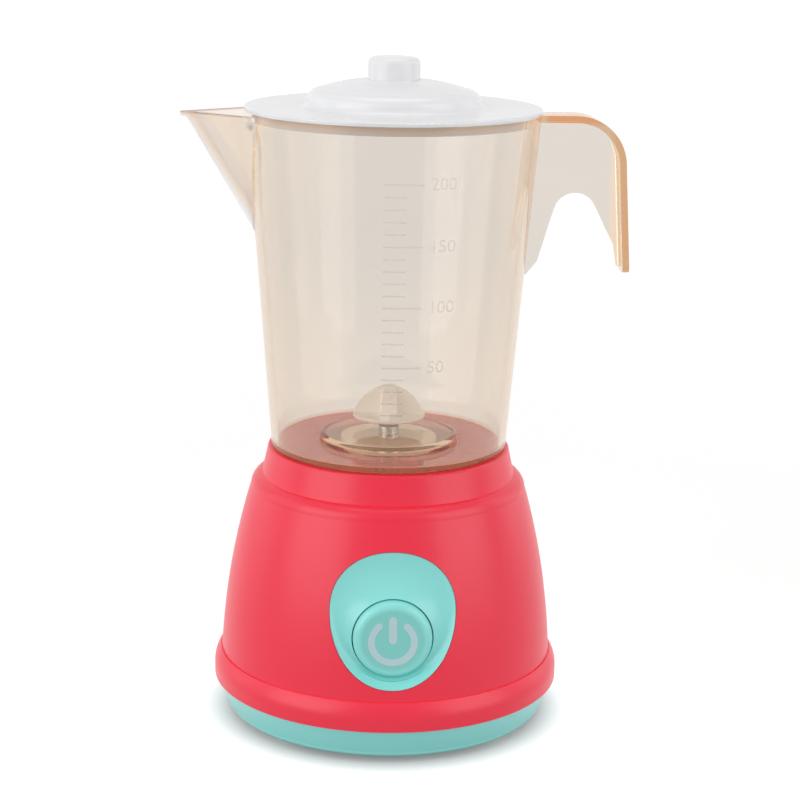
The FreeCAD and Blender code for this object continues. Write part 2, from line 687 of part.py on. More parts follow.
def egg_point(shrink, step, steps):
    """x and z of one point on the bezel's egg, made smaller all round by shrink. Each half is
    an ellipse made a little fuller, and the lower half is longer than the upper one."""
    angle = 2 * math.pi * step / steps
    along, up = math.cos(angle), math.sin(angle)
    power = 2 / number("bezel_fullness")
    high = number("bezel_up" if up >= 0 else "bezel_down") - shrink
    x = math.copysign(abs(along) ** power, along) * (number("bezel_half_wide") - shrink)
    z = math.copysign(abs(up) ** power, up) * high
    return x, number("bezel_z") + z


def egg_wire(shrink, y):
    """The bezel's outline, made smaller all round by shrink, in the plane at y."""
    points = []
    for step in range(48):
        x, z = egg_point(shrink, step, 48)
        points.append(FreeCAD.Vector(x, y, z))
    return closed_curve(points)


def egg_prism(shrink, front, back):
    """A solid egg from y = -front to y = -back."""
    face = Part.Face(egg_wire(shrink, -front))
    return face.extrude(FreeCAD.Vector(0, front - back, 0))


def make_base_housing(shell):
    """The shell with its egg-shaped opening for the bezel."""
    tool = doc.addObject("Part::Feature", "EggOpening")
    tool.Shape = egg_prism(0, number("flange_r + bezel_cut_over"), number("bracket_front"))
    cut = doc.addObject("Part::Cut", "base_housing")
    cut.Base = shell
    cut.Tool = tool
    cut.Label = "base_housing"
    PARTS.append(cut)
    return cut


def make_base_plate():
    """Mint plate: floor, flared skirt, lip, feet, cell bay, cups and ribs."""
    body = new_body("base_plate")
    lip_r = "flange_r - housing_wall - fit_gap"
    sketch = sketch_on(body, "plate_outline", "XZ")
    outline(sketch, [
        ("0", "feet_drop"),
        ("plate_low_r - plate_edge_round", "feet_drop"),
        ("plate_low_r", "feet_drop + plate_edge_round", "plate_edge_round", 1),
        ("seam_r", "seam_z"),
        (lip_r, "seam_z"),
        (lip_r, "seam_z + tongue_rise"),
        (f"{lip_r} - tongue_wall", "seam_z + tongue_rise"),
        (f"{lip_r} - tongue_wall", "seam_z"),
        ("plate_low_r - plate_wall", "floor_z"),
        ("0", "floor_z")])
    revolve(body, "plate_turned", sketch)

    bay = sketch_on(body, "bay_sketch", "XY", "floor_z")
    box_outline(bay, "-bay_x - bay_wall", "bay_x + bay_wall",
                "-bay_y - bay_wall", "bay_y + bay_wall")
    pad(body, "bay_block", bay, "roof_z - floor_z")
    hollow = sketch_on(body, "bay_hollow_sketch", "XY", "feet_drop")
    box_outline(hollow, "-bay_x", "bay_x", "-bay_y", "bay_y")
    pocket(body, "bay_hollow", hollow, "bay_z - feet_drop", back=True)
    recess = sketch_on(body, "door_recess_sketch", "XY", "feet_drop")
    round_box(recess, "-bay_x - door_lap", "bay_x + door_screw_lap",
              "-bay_y - door_lap", "bay_y + door_lap", "door_corner")
    pocket(body, "door_recess", recess, "door_step", back=True)
    notch = sketch_on(body, "door_notch_sketch", "XY", "floor_z")
    for side in ("1", "-1"):
        middle = f"{side} * door_tab_y"
        box_outline(notch, "-bay_x - bay_wall", "-bay_x + fit_gap",
                    f"{middle} - door_tab_width / 2 - move_gap",
                    f"{middle} + door_tab_width / 2 + move_gap")
    pocket(body, "door_notches", notch, "door_step + 2 * move_gap", back=True)
    slot = sketch_on(body, "tag_slot_sketch", "XY", "bay_z")
    for side in ("1", "-1"):
        box_outline(slot, "bay_x - contact_sheet - 2 * fit_gap", "bay_x",
                    f"{side} * cell_y - tag_width / 2 - fit_gap",
                    f"{side} * cell_y + tag_width / 2 + fit_gap")
    pocket(body, "tag_slots", slot, "bay_wall", back=True)

    post = sketch_on(body, "door_post_sketch", "XY", "floor_z")
    circle(post, "door_screw_x", "0", "screw_head_r + boss_wall")
    pad(body, "door_post", post, "door_screw_length")
    pilot = sketch_on(body, "door_pilot_sketch", "XY", "feet_drop + door_step")
    circle(pilot, "door_screw_x", "0", "screw_r + shaft_gap")
    pocket(body, "door_pilot", pilot, "door_screw_length", back=True)

    cups = sketch_on(body, "cup_sketch", "XY", "floor_z")
    heads = sketch_on(body, "cup_head_sketch", "XY", "feet_drop")
    holes = sketch_on(body, "cup_hole_sketch", "XY", "feet_drop")
    for side_x, side_y in CORNERS:
        spot = (f"{side_x} * column_x", f"{side_y} * column_y")
        circle(cups, *spot, "screw_head_r + move_gap + cup_wall")
        circle(heads, *spot, "screw_head_r + move_gap")
        circle(holes, *spot, "screw_r + fit_gap")
    pad(body, "cups", cups, "column_rise")
    pocket(body, "cup_heads", heads, "cup_z - feet_drop - cup_wall", back=True)
    pocket(body, "cup_holes", holes, "cup_z - feet_drop", back=True)

    ribs = sketch_on(body, "rib_sketch", "XY", "floor_z")
    for near_y, far_y in (("bracket_front + fit_gap", "bracket_front + fit_gap + rib_thick"),
                          ("bracket_front - bracket_thick - fit_gap - rib_thick",
                           "bracket_front - bracket_thick - fit_gap")):
        box_outline(ribs, "-bracket_foot_half", "bracket_foot_half", f"-({far_y})", f"-({near_y})")
    pad(body, "bracket_ribs", ribs, "rib_rise")

    foot_sketch = sketch_on(body, "foot_sketch", "XY", "feet_drop")
    circle(foot_sketch, "foot_circle_r * cos(45)", "foot_circle_r * sin(45)", "foot_r")
    foot = pad(body, "foot", foot_sketch, "feet_drop", back=True)
    ring_of(body, "feet", foot, 4)
    round_edges(body, "foot_edges", "foot_round",
                lambda middle, edge: abs(middle.z) < 0.001)
    return body


def make_battery_door():
    """Door in the underside: outer panel, inner panel, two tabs and a screw hole."""
    body = new_body("battery_door")
    outer = sketch_on(body, "door_outer_sketch", "XY", "feet_drop")
    round_box(outer, "-bay_x - door_lap + fit_gap", "bay_x + door_screw_lap - fit_gap",
              "-bay_y - door_lap + fit_gap", "bay_y + door_lap - fit_gap", "door_corner")
    pad(body, "door_outer", outer, "door_step")
    inner = sketch_on(body, "door_inner_sketch", "XY", "feet_drop + door_step")
    box_outline(inner, "-bay_x + fit_gap", "bay_x - fit_gap",
                "-bay_y + fit_gap", "bay_y - fit_gap")
    pad(body, "door_inner", inner, "plate_floor - door_step")
    tabs = sketch_on(body, "door_tab_sketch", "XY", "floor_z")
    for side in ("1", "-1"):
        box_outline(tabs, "-bay_x - door_tab_reach", "-bay_x + fit_gap + contact_sheet",
                    f"{side} * door_tab_y - door_tab_width / 2",
                    f"{side} * door_tab_y + door_tab_width / 2")
    pad(body, "door_tabs", tabs, "door_step")
    hole = sketch_on(body, "door_hole_sketch", "XY", "feet_drop")
    circle(hole, "door_screw_x", "0", "screw_r + fit_gap")
    pocket(body, "door_hole", hole, "door_step", back=True)
    return body


def make_cell(label, side):
    """One AA cell lying along X; side is 1 when its cap points to +X."""
    body = turned(label, [
        ("0", "-cell_length / 2"),
        ("cell_r - 0.6", "-cell_length / 2"),
        ("cell_r", "-cell_length / 2 + 0.6"),
        ("cell_r", "cell_length / 2 - cell_cap_high - 0.6"),
        ("cell_r - 0.6", "cell_length / 2 - cell_cap_high"),
        ("cell_cap_r", "cell_length / 2 - cell_cap_high"),
        ("cell_cap_r", "cell_length / 2"),
        ("0", "cell_length / 2")])
    place(body, f"{side} * cell_shift", f"{-side} * cell_y", "cell_z",
          ALONG_X if side > 0 else ALONG_MINUS_X)
    return body


def contact_leaf(body, name, y, x_face, way, bow):
    """A bowed strip or dimple on a contact sheet; way points to the cell."""
    sketch = sketch_on(body, name + "_sketch", "XZ", f"-({y})")
    tip = f"{x_face} + {way} * {bow}"
    outline(sketch, [
        (x_face, "cell_z - leaf_half_long"),
        (tip, "cell_z - leaf_crest"),
        (tip, "cell_z + leaf_crest"),
        (x_face, "cell_z + leaf_half_long")][::way])
    return pad(body, name, sketch, "0.55 * contact_width", both=True)


def make_contact(label, side_y, bow, tag):
    """A contact in the +X end of the bay with its solder tag."""
    body = new_body(label)
    face = "bay_x - fit_gap - contact_sheet"
    middle = f"{side_y} * cell_y"
    sheet_sketch = sketch_on(body, label + "_sheet_sketch", "YZ", face)
    outline(sheet_sketch, [
        (f"{middle} + contact_width / 2", "cell_z - contact_half_high"),
        (f"{middle} + contact_width / 2", "bay_z - fit_gap"),
        (f"{middle} + tag_width / 2", "bay_z - fit_gap"),
        (f"{middle} + tag_width / 2", tag),
        (f"{middle} - tag_width / 2", tag),
        (f"{middle} - tag_width / 2", "bay_z - fit_gap"),
        (f"{middle} - contact_width / 2", "bay_z - fit_gap"),
        (f"{middle} - contact_width / 2", "cell_z - contact_half_high")])
    pad(body, label + "_sheet", sheet_sketch, "contact_sheet")
    contact_leaf(body, label + "_leaf", middle, face, -1, bow)
    return body


def make_contact_bridge():
    """The contact that joins both cells at the -X end."""
    body = new_body("contact_bridge")
    face = "-bay_x + fit_gap + contact_sheet"
    sketch = sketch_on(body, "bridge_sketch", "YZ", face)
    box_outline(sketch, "-cell_y - contact_width / 2", "cell_y + contact_width / 2",
                "cell_z - contact_half_high", "cell_z + contact_half_high")
    pad(body, "bridge_sheet", sketch, "contact_sheet", back=True)
    contact_leaf(body, "bridge_leaf", "-cell_y", face, 1, "leaf_depth")
    contact_leaf(body, "bridge_dimple", "cell_y", face, 1, "dimple_depth")
    return body


# ---------------------------------------------------------------- bezel, button, switch

def wall_radius(z):
    """Outer radius of the housing's bowed wall at a height."""
    low = FreeCAD.Vector(number("wall_low_r"), number("crease_z"), 0)
    high = FreeCAD.Vector(number("shoulder_r"), number("shoulder_z"), 0)
    bow = number("wall_bulge_r")
    centre = arc_between(low, high, bow, 1).Center
    return centre.x + math.sqrt(bow ** 2 - (z - centre.y) ** 2)


def wall_solid(inset):
    """The round space inside the bowed wall, inset from its outside."""
    low, high = number("crease_z"), number("shoulder_z")
    middle = (low + high) / 2
    points = [FreeCAD.Vector(wall_radius(z) - inset, 0, z) for z in (low, middle, high)]
    edges = [Part.Arc(*points).toShape(),
             Part.makeLine(points[2], FreeCAD.Vector(0, 0, high)),
             Part.makeLine(FreeCAD.Vector(0, 0, high), FreeCAD.Vector(0, 0, low)),
             Part.makeLine(FreeCAD.Vector(0, 0, low), points[0])]
    face = Part.Face(Part.Wire(edges))
    return face.revolve(FreeCAD.Vector(0, 0, 0), FreeCAD.Vector(0, 0, 1), 360)


def make_button_bezel():
    """Dished egg: its edge lies flush in the bowed wall, its middle is the flat ring of the
    button hole, and a scooped surface runs from one to the other. A flange laps behind the
    wall, and two posts carry the switch bracket."""
    gap = number("fit_gap")
    ring_r, ring_y, ring_z = number("ring_r"), -number("ring_front"), number("button_z")
    edge_points, scoop_points, ring_points = [], [], []
    broadest = number("bezel_z + bezel_up - fit_gap") - ring_z - ring_r
    steps = 48
    for step in range(steps):
        angle = 2 * math.pi * step / steps
        x, z = egg_point(gap, step, steps)
        edge = FreeCAD.Vector(x, -math.sqrt(wall_radius(z) ** 2 - x ** 2), z)
        ring = FreeCAD.Vector(ring_r * math.cos(angle), ring_y,
                              ring_z + ring_r * math.sin(angle))
        span = math.hypot(edge.x - ring.x, edge.z - ring.z)
        sag = number("bezel_sag") * span / broadest
        scoop = (edge + ring) * 0.5 + FreeCAD.Vector(0, sag, 0)
        edge_points.append(edge)
        scoop_points.append(scoop)
        ring_points.append(ring)
    curves = [closed_curve(points) for points in (edge_points, scoop_points, ring_points)]
    dish = Part.makeLoft(curves, False, False)
    solid = dish.Faces[0].extrude(FreeCAD.Vector(0, number("bezel_thick"), 0))

    lap = number("bezel_lap")
    inset = number("housing_wall") + gap
    outside = egg_prism(-lap, number("flange_r"), number("bracket_front"))
    inside = egg_prism(lap + gap, number("flange_r"), number("bracket_front"))
    band = wall_solid(inset).cut(wall_solid(inset + number("bezel_lap_thick")))
    flange = outside.cut(inside).common(band)
    solid = solid.fuse(flange)
    post_start = number("ring_back - post_root")
    for side in (1, -1):
        foot = FreeCAD.Vector(side * number("post_x"), -post_start, ring_z)
        reach = post_start - number("bracket_front")
        post = Part.makeCylinder(number("post_r"), reach, foot, FreeCAD.Vector(0, 1, 0))
        cap = number("post_cap")
        bore = Part.makeCylinder(number("screw_r + shaft_gap"), reach - cap,
                                 foot + FreeCAD.Vector(0, cap, 0), FreeCAD.Vector(0, 1, 0))
        solid = solid.fuse(post).cut(bore)
    bezel = doc.addObject("Part::Feature", "button_bezel")
    bezel.Label = "button_bezel"
    bezel.Shape = solid.removeSplitter()
    PARTS.append(bezel)
    return bezel


def make_power_button():
    """Round button, hollow behind, with a retaining flange and a stem."""
    face = "ring_front + button_proud"
    flange_front = "(ring_back - button_lap_gap)"
    body = turned("power_button", [
        ("0", face),
        ("0", "stem_foot"),
        ("stem_r", "stem_foot"),
        ("stem_r", f"{face} - button_wall"),
        ("button_r - button_wall", f"{face} - button_wall"),
        ("button_r - button_wall", f"{flange_front} - button_lap_thick"),
        ("button_r + button_lap", f"{flange_front} - button_lap_thick"),
        ("button_r + button_lap", flange_front),
        ("button_r", flange_front),
        ("button_r", f"{face} - button_round"),
        ("button_r - button_round", face, "button_round", 1)])
    place(body, "0", "0", "button_z", FORWARD)
    return body


def make_push_switch():
    """Square switch with a front flange, a bored nose and two solder tags."""
    body = new_body("push_switch")
    back = "bracket_front - switch_deep"
    box = sketch_on(body, "switch_body_sketch", "XY", back)
    half = "switch_side / 2"
    box_outline(box, f"-{half}", half, f"-{half}", half)
    pad(body, "switch_body", box, "switch_deep + switch_lap")
    lap = sketch_on(body, "switch_lap_sketch", "XY", "bracket_front")
    wide = "(switch_side / 2 + switch_lap)"
    box_outline(lap, f"-{wide}", wide, f"-{wide}", wide)
    pad(body, "switch_flange", lap, "switch_lap")
    bore = sketch_on(body, "switch_bore_sketch", "XY", "bracket_front + switch_lap")
    circle(bore, "0", "0", "plunger_r + shaft_gap")
    pocket(body, "switch_bore", bore, "plunger_inside + button_travel - 1")
    tags = sketch_on(body, "switch_tag_sketch", "XY", back)
    for side in ("1", "-1"):
        box_outline(tags, f"{side} * terminal_pitch / 2 - terminal_half_wide",
                    f"{side} * terminal_pitch / 2 + terminal_half_wide",
                    "-terminal_half_thick", "terminal_half_thick")
    pad(body, "switch_tags", tags, "terminal_long", back=True)
    place(body, "0", "0", "button_z", FORWARD)
    return body


def make_switch_plunger():
    """Plunger between the switch and the button's stem."""
    body = turned("switch_plunger", [
        ("0", "bracket_front + switch_lap - plunger_inside + button_travel"),
        ("plunger_r", "bracket_front + switch_lap - plunger_inside + button_travel"),
        ("plunger_r", "stem_foot"),
        ("0", "stem_foot")])
    place(body, "0", "0", "button_z", FORWARD)
    return body


def make_switch_bracket():
    """Upright plate: foot between the plate's ribs, wide at the switch."""
    body = new_body("switch_bracket")
    sketch = sketch_on(body, "bracket_sketch", "XZ", "bracket_front - bracket_thick")
    foot_z = "floor_z + fit_gap"
    outline(sketch, [
        ("-bracket_foot_half + fit_gap", foot_z),
        ("bracket_foot_half - fit_gap", foot_z),
        ("bracket_foot_half - fit_gap", "button_z - bracket_up - bracket_neck"),
        ("bracket_half_wide", "button_z - bracket_up"),
        ("bracket_half_wide", "button_z + bracket_up - bracket_corner"),
        ("bracket_half_wide - bracket_corner", "button_z + bracket_up", "bracket_corner", 1),
        ("-bracket_half_wide + bracket_corner", "button_z + bracket_up"),
        ("-bracket_half_wide", "button_z + bracket_up - bracket_corner", "bracket_corner", 1),
        ("-bracket_half_wide", "button_z - bracket_up"),
        ("-bracket_foot_half + fit_gap", "button_z - bracket_up - bracket_neck")])
    pad(body, "bracket_plate", sketch, "bracket_thick")
    window = sketch_on(body, "bracket_window_sketch", "XZ", "bracket_front")
    half = "(switch_side / 2 + fit_gap)"
    box_outline(window, f"-{half}", half, f"button_z - {half}", f"button_z + {half}")
    for side in ("1", "-1"):
        circle(window, f"{side} * post_x", "button_z", "screw_r + fit_gap")
    pocket(body, "bracket_holes", window, "bracket_thick")
    return body


# ---------------------------------------------------------------- motor and drive

def can_outline(sketch, shrink):
    """Round with two flats, as on a small motor."""
    reach = f"(motor_r - {shrink})"
    flat = f"(motor_flat - {shrink})"
    corner = f"(sqrt(({reach})^2 - ({flat})^2))"
    outline(sketch, [
        (corner, f"-{flat}"),
        (reach, "0", reach, 1),
        (corner, flat, reach, 1),
        (f"-{corner}", flat),
        (f"-{reach}", "0", reach, 1),
        (f"-{corner}", f"-{flat}", reach, 1)])


def make_motor_can():
    """Steel can with a bearing boss, bored for the shaft, and windows in its flats."""
    body = new_body("motor_can")
    sketch = sketch_on(body, "can_sketch", "XY", "can_z")
    can_outline(sketch, "0")
    pad(body, "can", sketch, "can_length")
    boss = sketch_on(body, "can_boss_sketch", "XY", "motor_top_z")
    circle(boss, "0", "0", "motor_boss_r")
    pad(body, "can_boss", boss, "motor_boss_high")
    bore = sketch_on(body, "can_bore_sketch", "XY", "motor_top_z + motor_boss_high")
    circle(bore, "0", "0", "motor_shaft_r + shaft_gap")
    pocket(body, "can_bore", bore, "shaft_in_can + motor_boss_high")
    window = sketch_on(body, "can_window_sketch", "YZ")
    for side in ("1", "-1"):
        box_outline(window, f"{side} * motor_flat - 0.6", f"{side} * motor_flat + 0.6",
                    "motor_top_z - can_window_low", "motor_top_z - can_window_high")
    pocket(body, "can_windows", window, "can_window_wide", both=True)
    return body


def make_motor_end_cap():
    """Plastic end cap with its own boss and two solder tags."""
    body = new_body("motor_end_cap")
    sketch = sketch_on(body, "end_cap_sketch", "XY", "end_cap_z")
    can_outline(sketch, "end_cap_inset")
    pad(body, "end_cap", sketch, "end_cap_length")
    boss = sketch_on(body, "end_boss_sketch", "XY", "end_cap_z")
    circle(boss, "0", "0", "motor_boss_r")
    pad(body, "end_boss", boss, "motor_boss_high", back=True)
    tags = sketch_on(body, "motor_tag_sketch", "XY", "end_cap_z")
    for side in ("1", "-1"):
        box_outline(tags, f"{side} * motor_tag_x - terminal_half_thick",
                    f"{side} * motor_tag_x + terminal_half_thick",
                    "-terminal_half_wide", "terminal_half_wide")
    pad(body, "motor_tags", tags, "terminal_long", back=True)
    return body


def make_motor_bracket():
    """U-shaped strap under the motor with two ears on the pillars."""
    body = new_body("motor_bracket")
    sketch = sketch_on(body, "strap_sketch", "YZ")
    low = "(end_cap_z - fit_gap)"
    out = "(strap_y + strap_thick)"
    tip = f"({out} + strap_ear)"
    outline(sketch, [
        (f"-{out}", f"{low} - strap_thick"),
        (out, f"{low} - strap_thick"),
        (out, "pillar_z - strap_thick"),
        (tip, "pillar_z - strap_thick"),
        (tip, "pillar_z"),
        ("strap_y", "pillar_z"),
        ("strap_y", low),
        ("-strap_y", low),
        ("-strap_y", "pillar_z"),
        (f"-{tip}", "pillar_z"),
        (f"-{tip}", "pillar_z - strap_thick"),
        (f"-{out}", "pillar_z - strap_thick")])
    pad(body, "strap", sketch, "2 * strap_half_wide", both=True)
    holes = sketch_on(body, "strap_hole_sketch", "XY", "pillar_z")
    for side in ("1", "-1"):
        circle(holes, "0", f"{side} * motor_screw_y", "screw_r + fit_gap")
    pocket(body, "strap_holes", holes, "strap_thick")
    boss_hole = sketch_on(body, "strap_boss_sketch", "XY", low)
    circle(boss_hole, "0", "0", "motor_boss_r + fit_gap")
    pocket(body, "strap_boss_hole", boss_hole, "strap_thick")
    return body


def make_motor_shaft():
    """Motor shaft from inside the can up through the drive arm."""
    low = "motor_top_z - shaft_in_can + fit_gap"
    top = "arm_z + arm_high"
    return turned("motor_shaft", [
        ("0", low), ("motor_shaft_r", low), ("motor_shaft_r", top), ("0", top)])


def make_drive_arm():
    """Bar with a hub, pressed on the motor shaft, that pushes the lug."""
    body = new_body("drive_arm")
    hub = sketch_on(body, "arm_hub_sketch", "XY")
    circle(hub, "0", "0", "arm_hub_r")
    pad(body, "arm_hub", hub, "arm_high")
    bar = sketch_on(body, "arm_bar_sketch", "XY")
    straight = "(arm_half_long - arm_half_wide)"
    outline(bar, [
        (straight, "-arm_half_wide"),
        ("arm_half_long", "0", "arm_half_wide", 1),
        (straight, "arm_half_wide", "arm_half_wide", 1),
        (f"-{straight}", "arm_half_wide"),
        ("-arm_half_long", "0", "arm_half_wide", 1),
        (f"-{straight}", "-arm_half_wide", "arm_half_wide", 1)])
    pad(body, "arm_bar", bar, "arm_high")
    bore = sketch_on(body, "arm_bore_sketch", "XY", "arm_high")
    circle(bore, "0", "0", "motor_shaft_r + press_gap")
    pocket(body, "arm_bore", bore, "arm_high")
    angle = number("lug_angle - arm_lag")
    place(body, "0", "0", "arm_z", FreeCAD.Rotation(FreeCAD.Vector(0, 0, 1), angle))
    bind(body, "Placement.Rotation.Angle", "lug_angle - arm_lag")
    return body


# ---------------------------------------------------------------- jug

def spout_section(sketch, reach_name, scale, inset):
    """A level cut through the spout: two straight sides and a round tip. The lean of the
    sides is found first, so that the rounded tip ends exactly at the named reach."""
    root, tip_r = number("spout_root"), number("spout_tip_r")
    reach = number(reach_name)
    apex = reach
    for _ in range(20):
        lean = math.atan2(number("spout_half_wide"), apex - number("spout_wall_x"))
        apex = reach + tip_r * (1 / math.sin(lean) - 1)
    half = (apex - root) * math.tan(lean)
    touch_x = apex - root - tip_r / math.sin(lean) + tip_r * math.sin(lean)
    touch_y = tip_r * math.cos(lean)
    across = half * scale - inset / math.cos(lean)
    near_tip = -(root + touch_x * scale - inset / math.sin(lean))
    points = [FreeCAD.Vector(-root, -across, 0), FreeCAD.Vector(-root, across, 0),
              FreeCAD.Vector(near_tip, touch_y * scale, 0),
              FreeCAD.Vector(near_tip, -touch_y * scale, 0)]
    sketch.addGeometry(Part.LineSegment(points[0], points[1]), False)
    sketch.addGeometry(Part.LineSegment(points[1], points[2]), False)
    sketch.addGeometry(arc_between(points[2], points[3], tip_r * scale, 1), False)
    sketch.addGeometry(Part.LineSegment(points[3], points[0]), False)


def make_jug():
    """Clear jug: outside first, then spout and handle, then the hollow."""
    body = new_body("jug")
    solid = sketch_on(body, "jug_outer_sketch", "XZ")
    spigot_z = "(deck_z - spigot_drop)"
    inner_spigot = "(platform_r - jug_wall)"
    outline(solid, [
        ("0", "ceiling_z"),
        (inner_spigot, "ceiling_z"),
        (inner_spigot, spigot_z),
        ("platform_r", spigot_z),
        ("platform_r", "deck_z"),
        ("jug_low_r - jug_low_round", "deck_z"),
        ("jug_low_r", "deck_z + jug_low_round", "jug_low_round", 1),
        ("jug_rim_r", "rim_z"),
        ("0", "rim_z")])
    revolve(body, "jug_outer", solid)

    lip = sketch_on(body, "spout_lip_sketch", "XY", "keel_top_z")
    spout_section(lip, "spout_reach", 1.0, 0.0)
    pad(body, "spout_lip", lip, "spout_lip")
    top = sketch_on(body, "spout_top_sketch", "XY", "keel_top_z")
    spout_section(top, "keel_reach", 1.0, 0.0)
    low = sketch_on(body, "spout_low_sketch", "XY", "keel_z")
    spout_section(low, "keel_reach", 0.02, 0.0)
    spout = body.newObject("PartDesign::AdditiveLoft", "spout")
    spout.Profile = top
    spout.Sections = [low]
    spout.Ruled = True
    body.Tip = spout

    strip = sketch_on(body, "handle_strip_sketch", "XZ")
    inside = "(jug_rim_r - jug_wall / 2)"
    inner_r = "(handle_corner - handle_thick)"
    outline(strip, [
        (inside, "handle_z - handle_thick"),
        ("handle_reach - handle_corner", "handle_z - handle_thick"),
        ("handle_reach - handle_thick", "handle_z - handle_corner", inner_r, -1),
        ("handle_reach - handle_thick + handle_flare", "handle_low_z"),
        ("handle_reach + handle_flare", "handle_low_z"),
        ("handle_reach", "handle_z - handle_corner"),
        ("handle_reach - handle_corner", "handle_z", "handle_corner", 1),
        (inside, "handle_z")])
    pad(body, "handle_strip", strip, "2 * handle_half_wide", both=True)
    round_edges(body, "handle_end", "handle_end_round",
                lambda middle, edge: near(middle.z, "handle_low_z")
                and near(abs(middle.y), "handle_half_wide"))

    web = sketch_on(body, "handle_web_sketch", "XZ")
    strip_mid_x = "(handle_reach - handle_thick / 2)"
    lip_x = "(handle_reach - handle_thick - web_lip)"
    lip_low_z = "(handle_low_z + web_lip_end)"
    outline(web, [
        (inside, "handle_z - handle_thick / 2"),
        ("web_foot_x", "web_foot_z"),
        ("web_foot_x + jug_wall / 2 + 0.4", "web_foot_z"),
        ("arch_low_x", "web_foot_z + 4.2"),
        ("arch_top_x - arch_top_half - 1.2", "flank_z - 3.4"),
        ("arch_top_x - arch_top_half", "flank_z"),
        ("arch_top_x", "arch_z", "arch_round_r", -1),
        ("arch_top_x + arch_top_half", "flank_z", "arch_round_r", -1),
        (f"{lip_x} + handle_flare / 2", "flank_z - web_lip_drop"),
        (f"{lip_x} + handle_flare", lip_low_z),
        (f"{strip_mid_x} + handle_flare", lip_low_z),
        (strip_mid_x, "handle_z - handle_corner"),
        ("handle_reach - handle_corner", "handle_z - handle_thick / 2",
         "handle_corner - handle_thick / 2", 1)])
    pad(body, "handle_web", web, "web_thick", both=True)

    hollow = sketch_on(body, "jug_hollow_sketch", "XZ")
    slope_x = "(jug_low_r + jug_slope * jug_floor - jug_wall)"
    outline(hollow, [
        ("0", "platform_z"),
        ("platform_r - platform_round", "platform_z"),
        ("platform_r", "platform_z - platform_round", "platform_round", -1),
        ("platform_r", "deck_z + jug_floor"),
        (slope_x, "deck_z + jug_floor"),
        ("jug_rim_r - jug_wall + jug_slope * 2", "rim_z + 2"),
        ("0", "rim_z + 2")])
    groove(body, "jug_hollow", hollow)

    inner_top = sketch_on(body, "spout_hollow_top_sketch", "XY", "rim_z + 1")
    over = number("1 + (rim_z + 1 - keel_top_z) / spout_drop")
    spout_section(inner_top, "keel_reach", over, number("spout_wall"))
    inner_low = sketch_on(body, "spout_hollow_low_sketch", "XY", "keel_z + 0.2 * spout_drop")
    spout_section(inner_low, "keel_reach", 0.2, number("spout_wall"))
    spout_hollow = body.newObject("PartDesign::SubtractiveLoft", "spout_hollow")
    spout_hollow.Profile = inner_top
    spout_hollow.Sections = [inner_low]
    spout_hollow.Ruled = True
    body.Tip = spout_hollow

    bush_hole = sketch_on(body, "bush_hole_sketch", "XY", "platform_z")
    circle(bush_hole, "0", "0", "bush_r + press_gap")
    pocket(body, "bush_hole", bush_hole, "jug_floor")

    notch = sketch_on(body, "key_notch_sketch", "XY", spigot_z)
    half = "(key_width / 2 + move_gap)"
    box_outline(notch, f"{inner_spigot} - 0.5", "platform_r + 0.5", f"-{half}", half)
    cut = pocket(body, "key_notch", notch, "key_height - well_depth + spigot_drop + move_gap",
                 back=True)
    ring_of(body, "key_notches", cut, 3)
    return body


def make_shaft_bush():
    """Metal bush through the platform."""
    bore = "rotor_shaft_r + shaft_gap"
    return turned("shaft_bush", [
        (bore, "bush_low_z"), ("bush_r", "bush_low_z"), ("bush_r", "bush_top_z - 0.3"),
        ("bush_r - 0.3", "bush_top_z"), (bore, "bush_top_z")])


# ---------------------------------------------------------------- rotor

def make_rotor():
    """Disc with a hub and four fins, and a collar underneath."""
    body = turned("rotor", [
        ("0", "-rotor_collar_drop"),
        ("rotor_collar_r", "-rotor_collar_drop"),
        ("rotor_collar_r", "0"),
        ("rotor_disc_r - 0.4", "0"),
        ("rotor_disc_r", "0.4"),
        ("rotor_disc_r", "rotor_disc_thick"),
        ("rotor_hub_r", "rotor_disc_thick"),
        ("rotor_hub_r", "rotor_height - 0.6"),
        ("rotor_hub_r - 0.6", "rotor_height"),
        ("0", "rotor_height")])
    fin_sketch = sketch_on(body, "fin_sketch", "XZ")
    outline(fin_sketch, [
        ("0", "rotor_disc_thick / 2"),
        ("rotor_disc_r - 0.3", "rotor_disc_thick / 2"),
        ("rotor_disc_r - 0.3", "rotor_disc_thick + 0.3"),
        ("rotor_hub_r - 0.3", "rotor_height - 0.3", "fin_bulge_r", 1),
        ("0", "rotor_height - 0.3")])
    fin = pad(body, "fin", fin_sketch, "fin_thick", both=True)
    ring_of(body, "fins", fin, 4)
    bore = sketch_on(body, "rotor_bore_sketch", "XY", "-rotor_collar_drop")
    circle(bore, "0", "0", "rotor_shaft_r + press_gap")
    pocket(body, "rotor_bore", bore, "rotor_height + rotor_collar_drop - rotor_cover", back=True)
    angle = number("fin_lead_angle")
    place(body, "0", "0", "rotor_z", FreeCAD.Rotation(FreeCAD.Vector(0, 0, 1), angle))
    bind(body, "Placement.Rotation.Angle", "fin_lead_angle")
    return body


def make_rotor_shaft():
    """Steel shaft from the driven disc up into the rotor."""
    top = "rotor_z + rotor_height - rotor_cover - fit_gap"
    return turned("rotor_shaft", [
        ("0", "disc_z"), ("rotor_shaft_r", "disc_z"), ("rotor_shaft_r", top), ("0", top)])


def make_thrust_washer():
    """Washer on the driven disc, under the bush."""
    low = "disc_top_z"
    high = "disc_top_z + washer_thick"
    bore = "rotor_shaft_r + press_gap"
    return turned("thrust_washer", [
        (bore, low), ("washer_r", low), ("washer_r", high), (bore, high)])


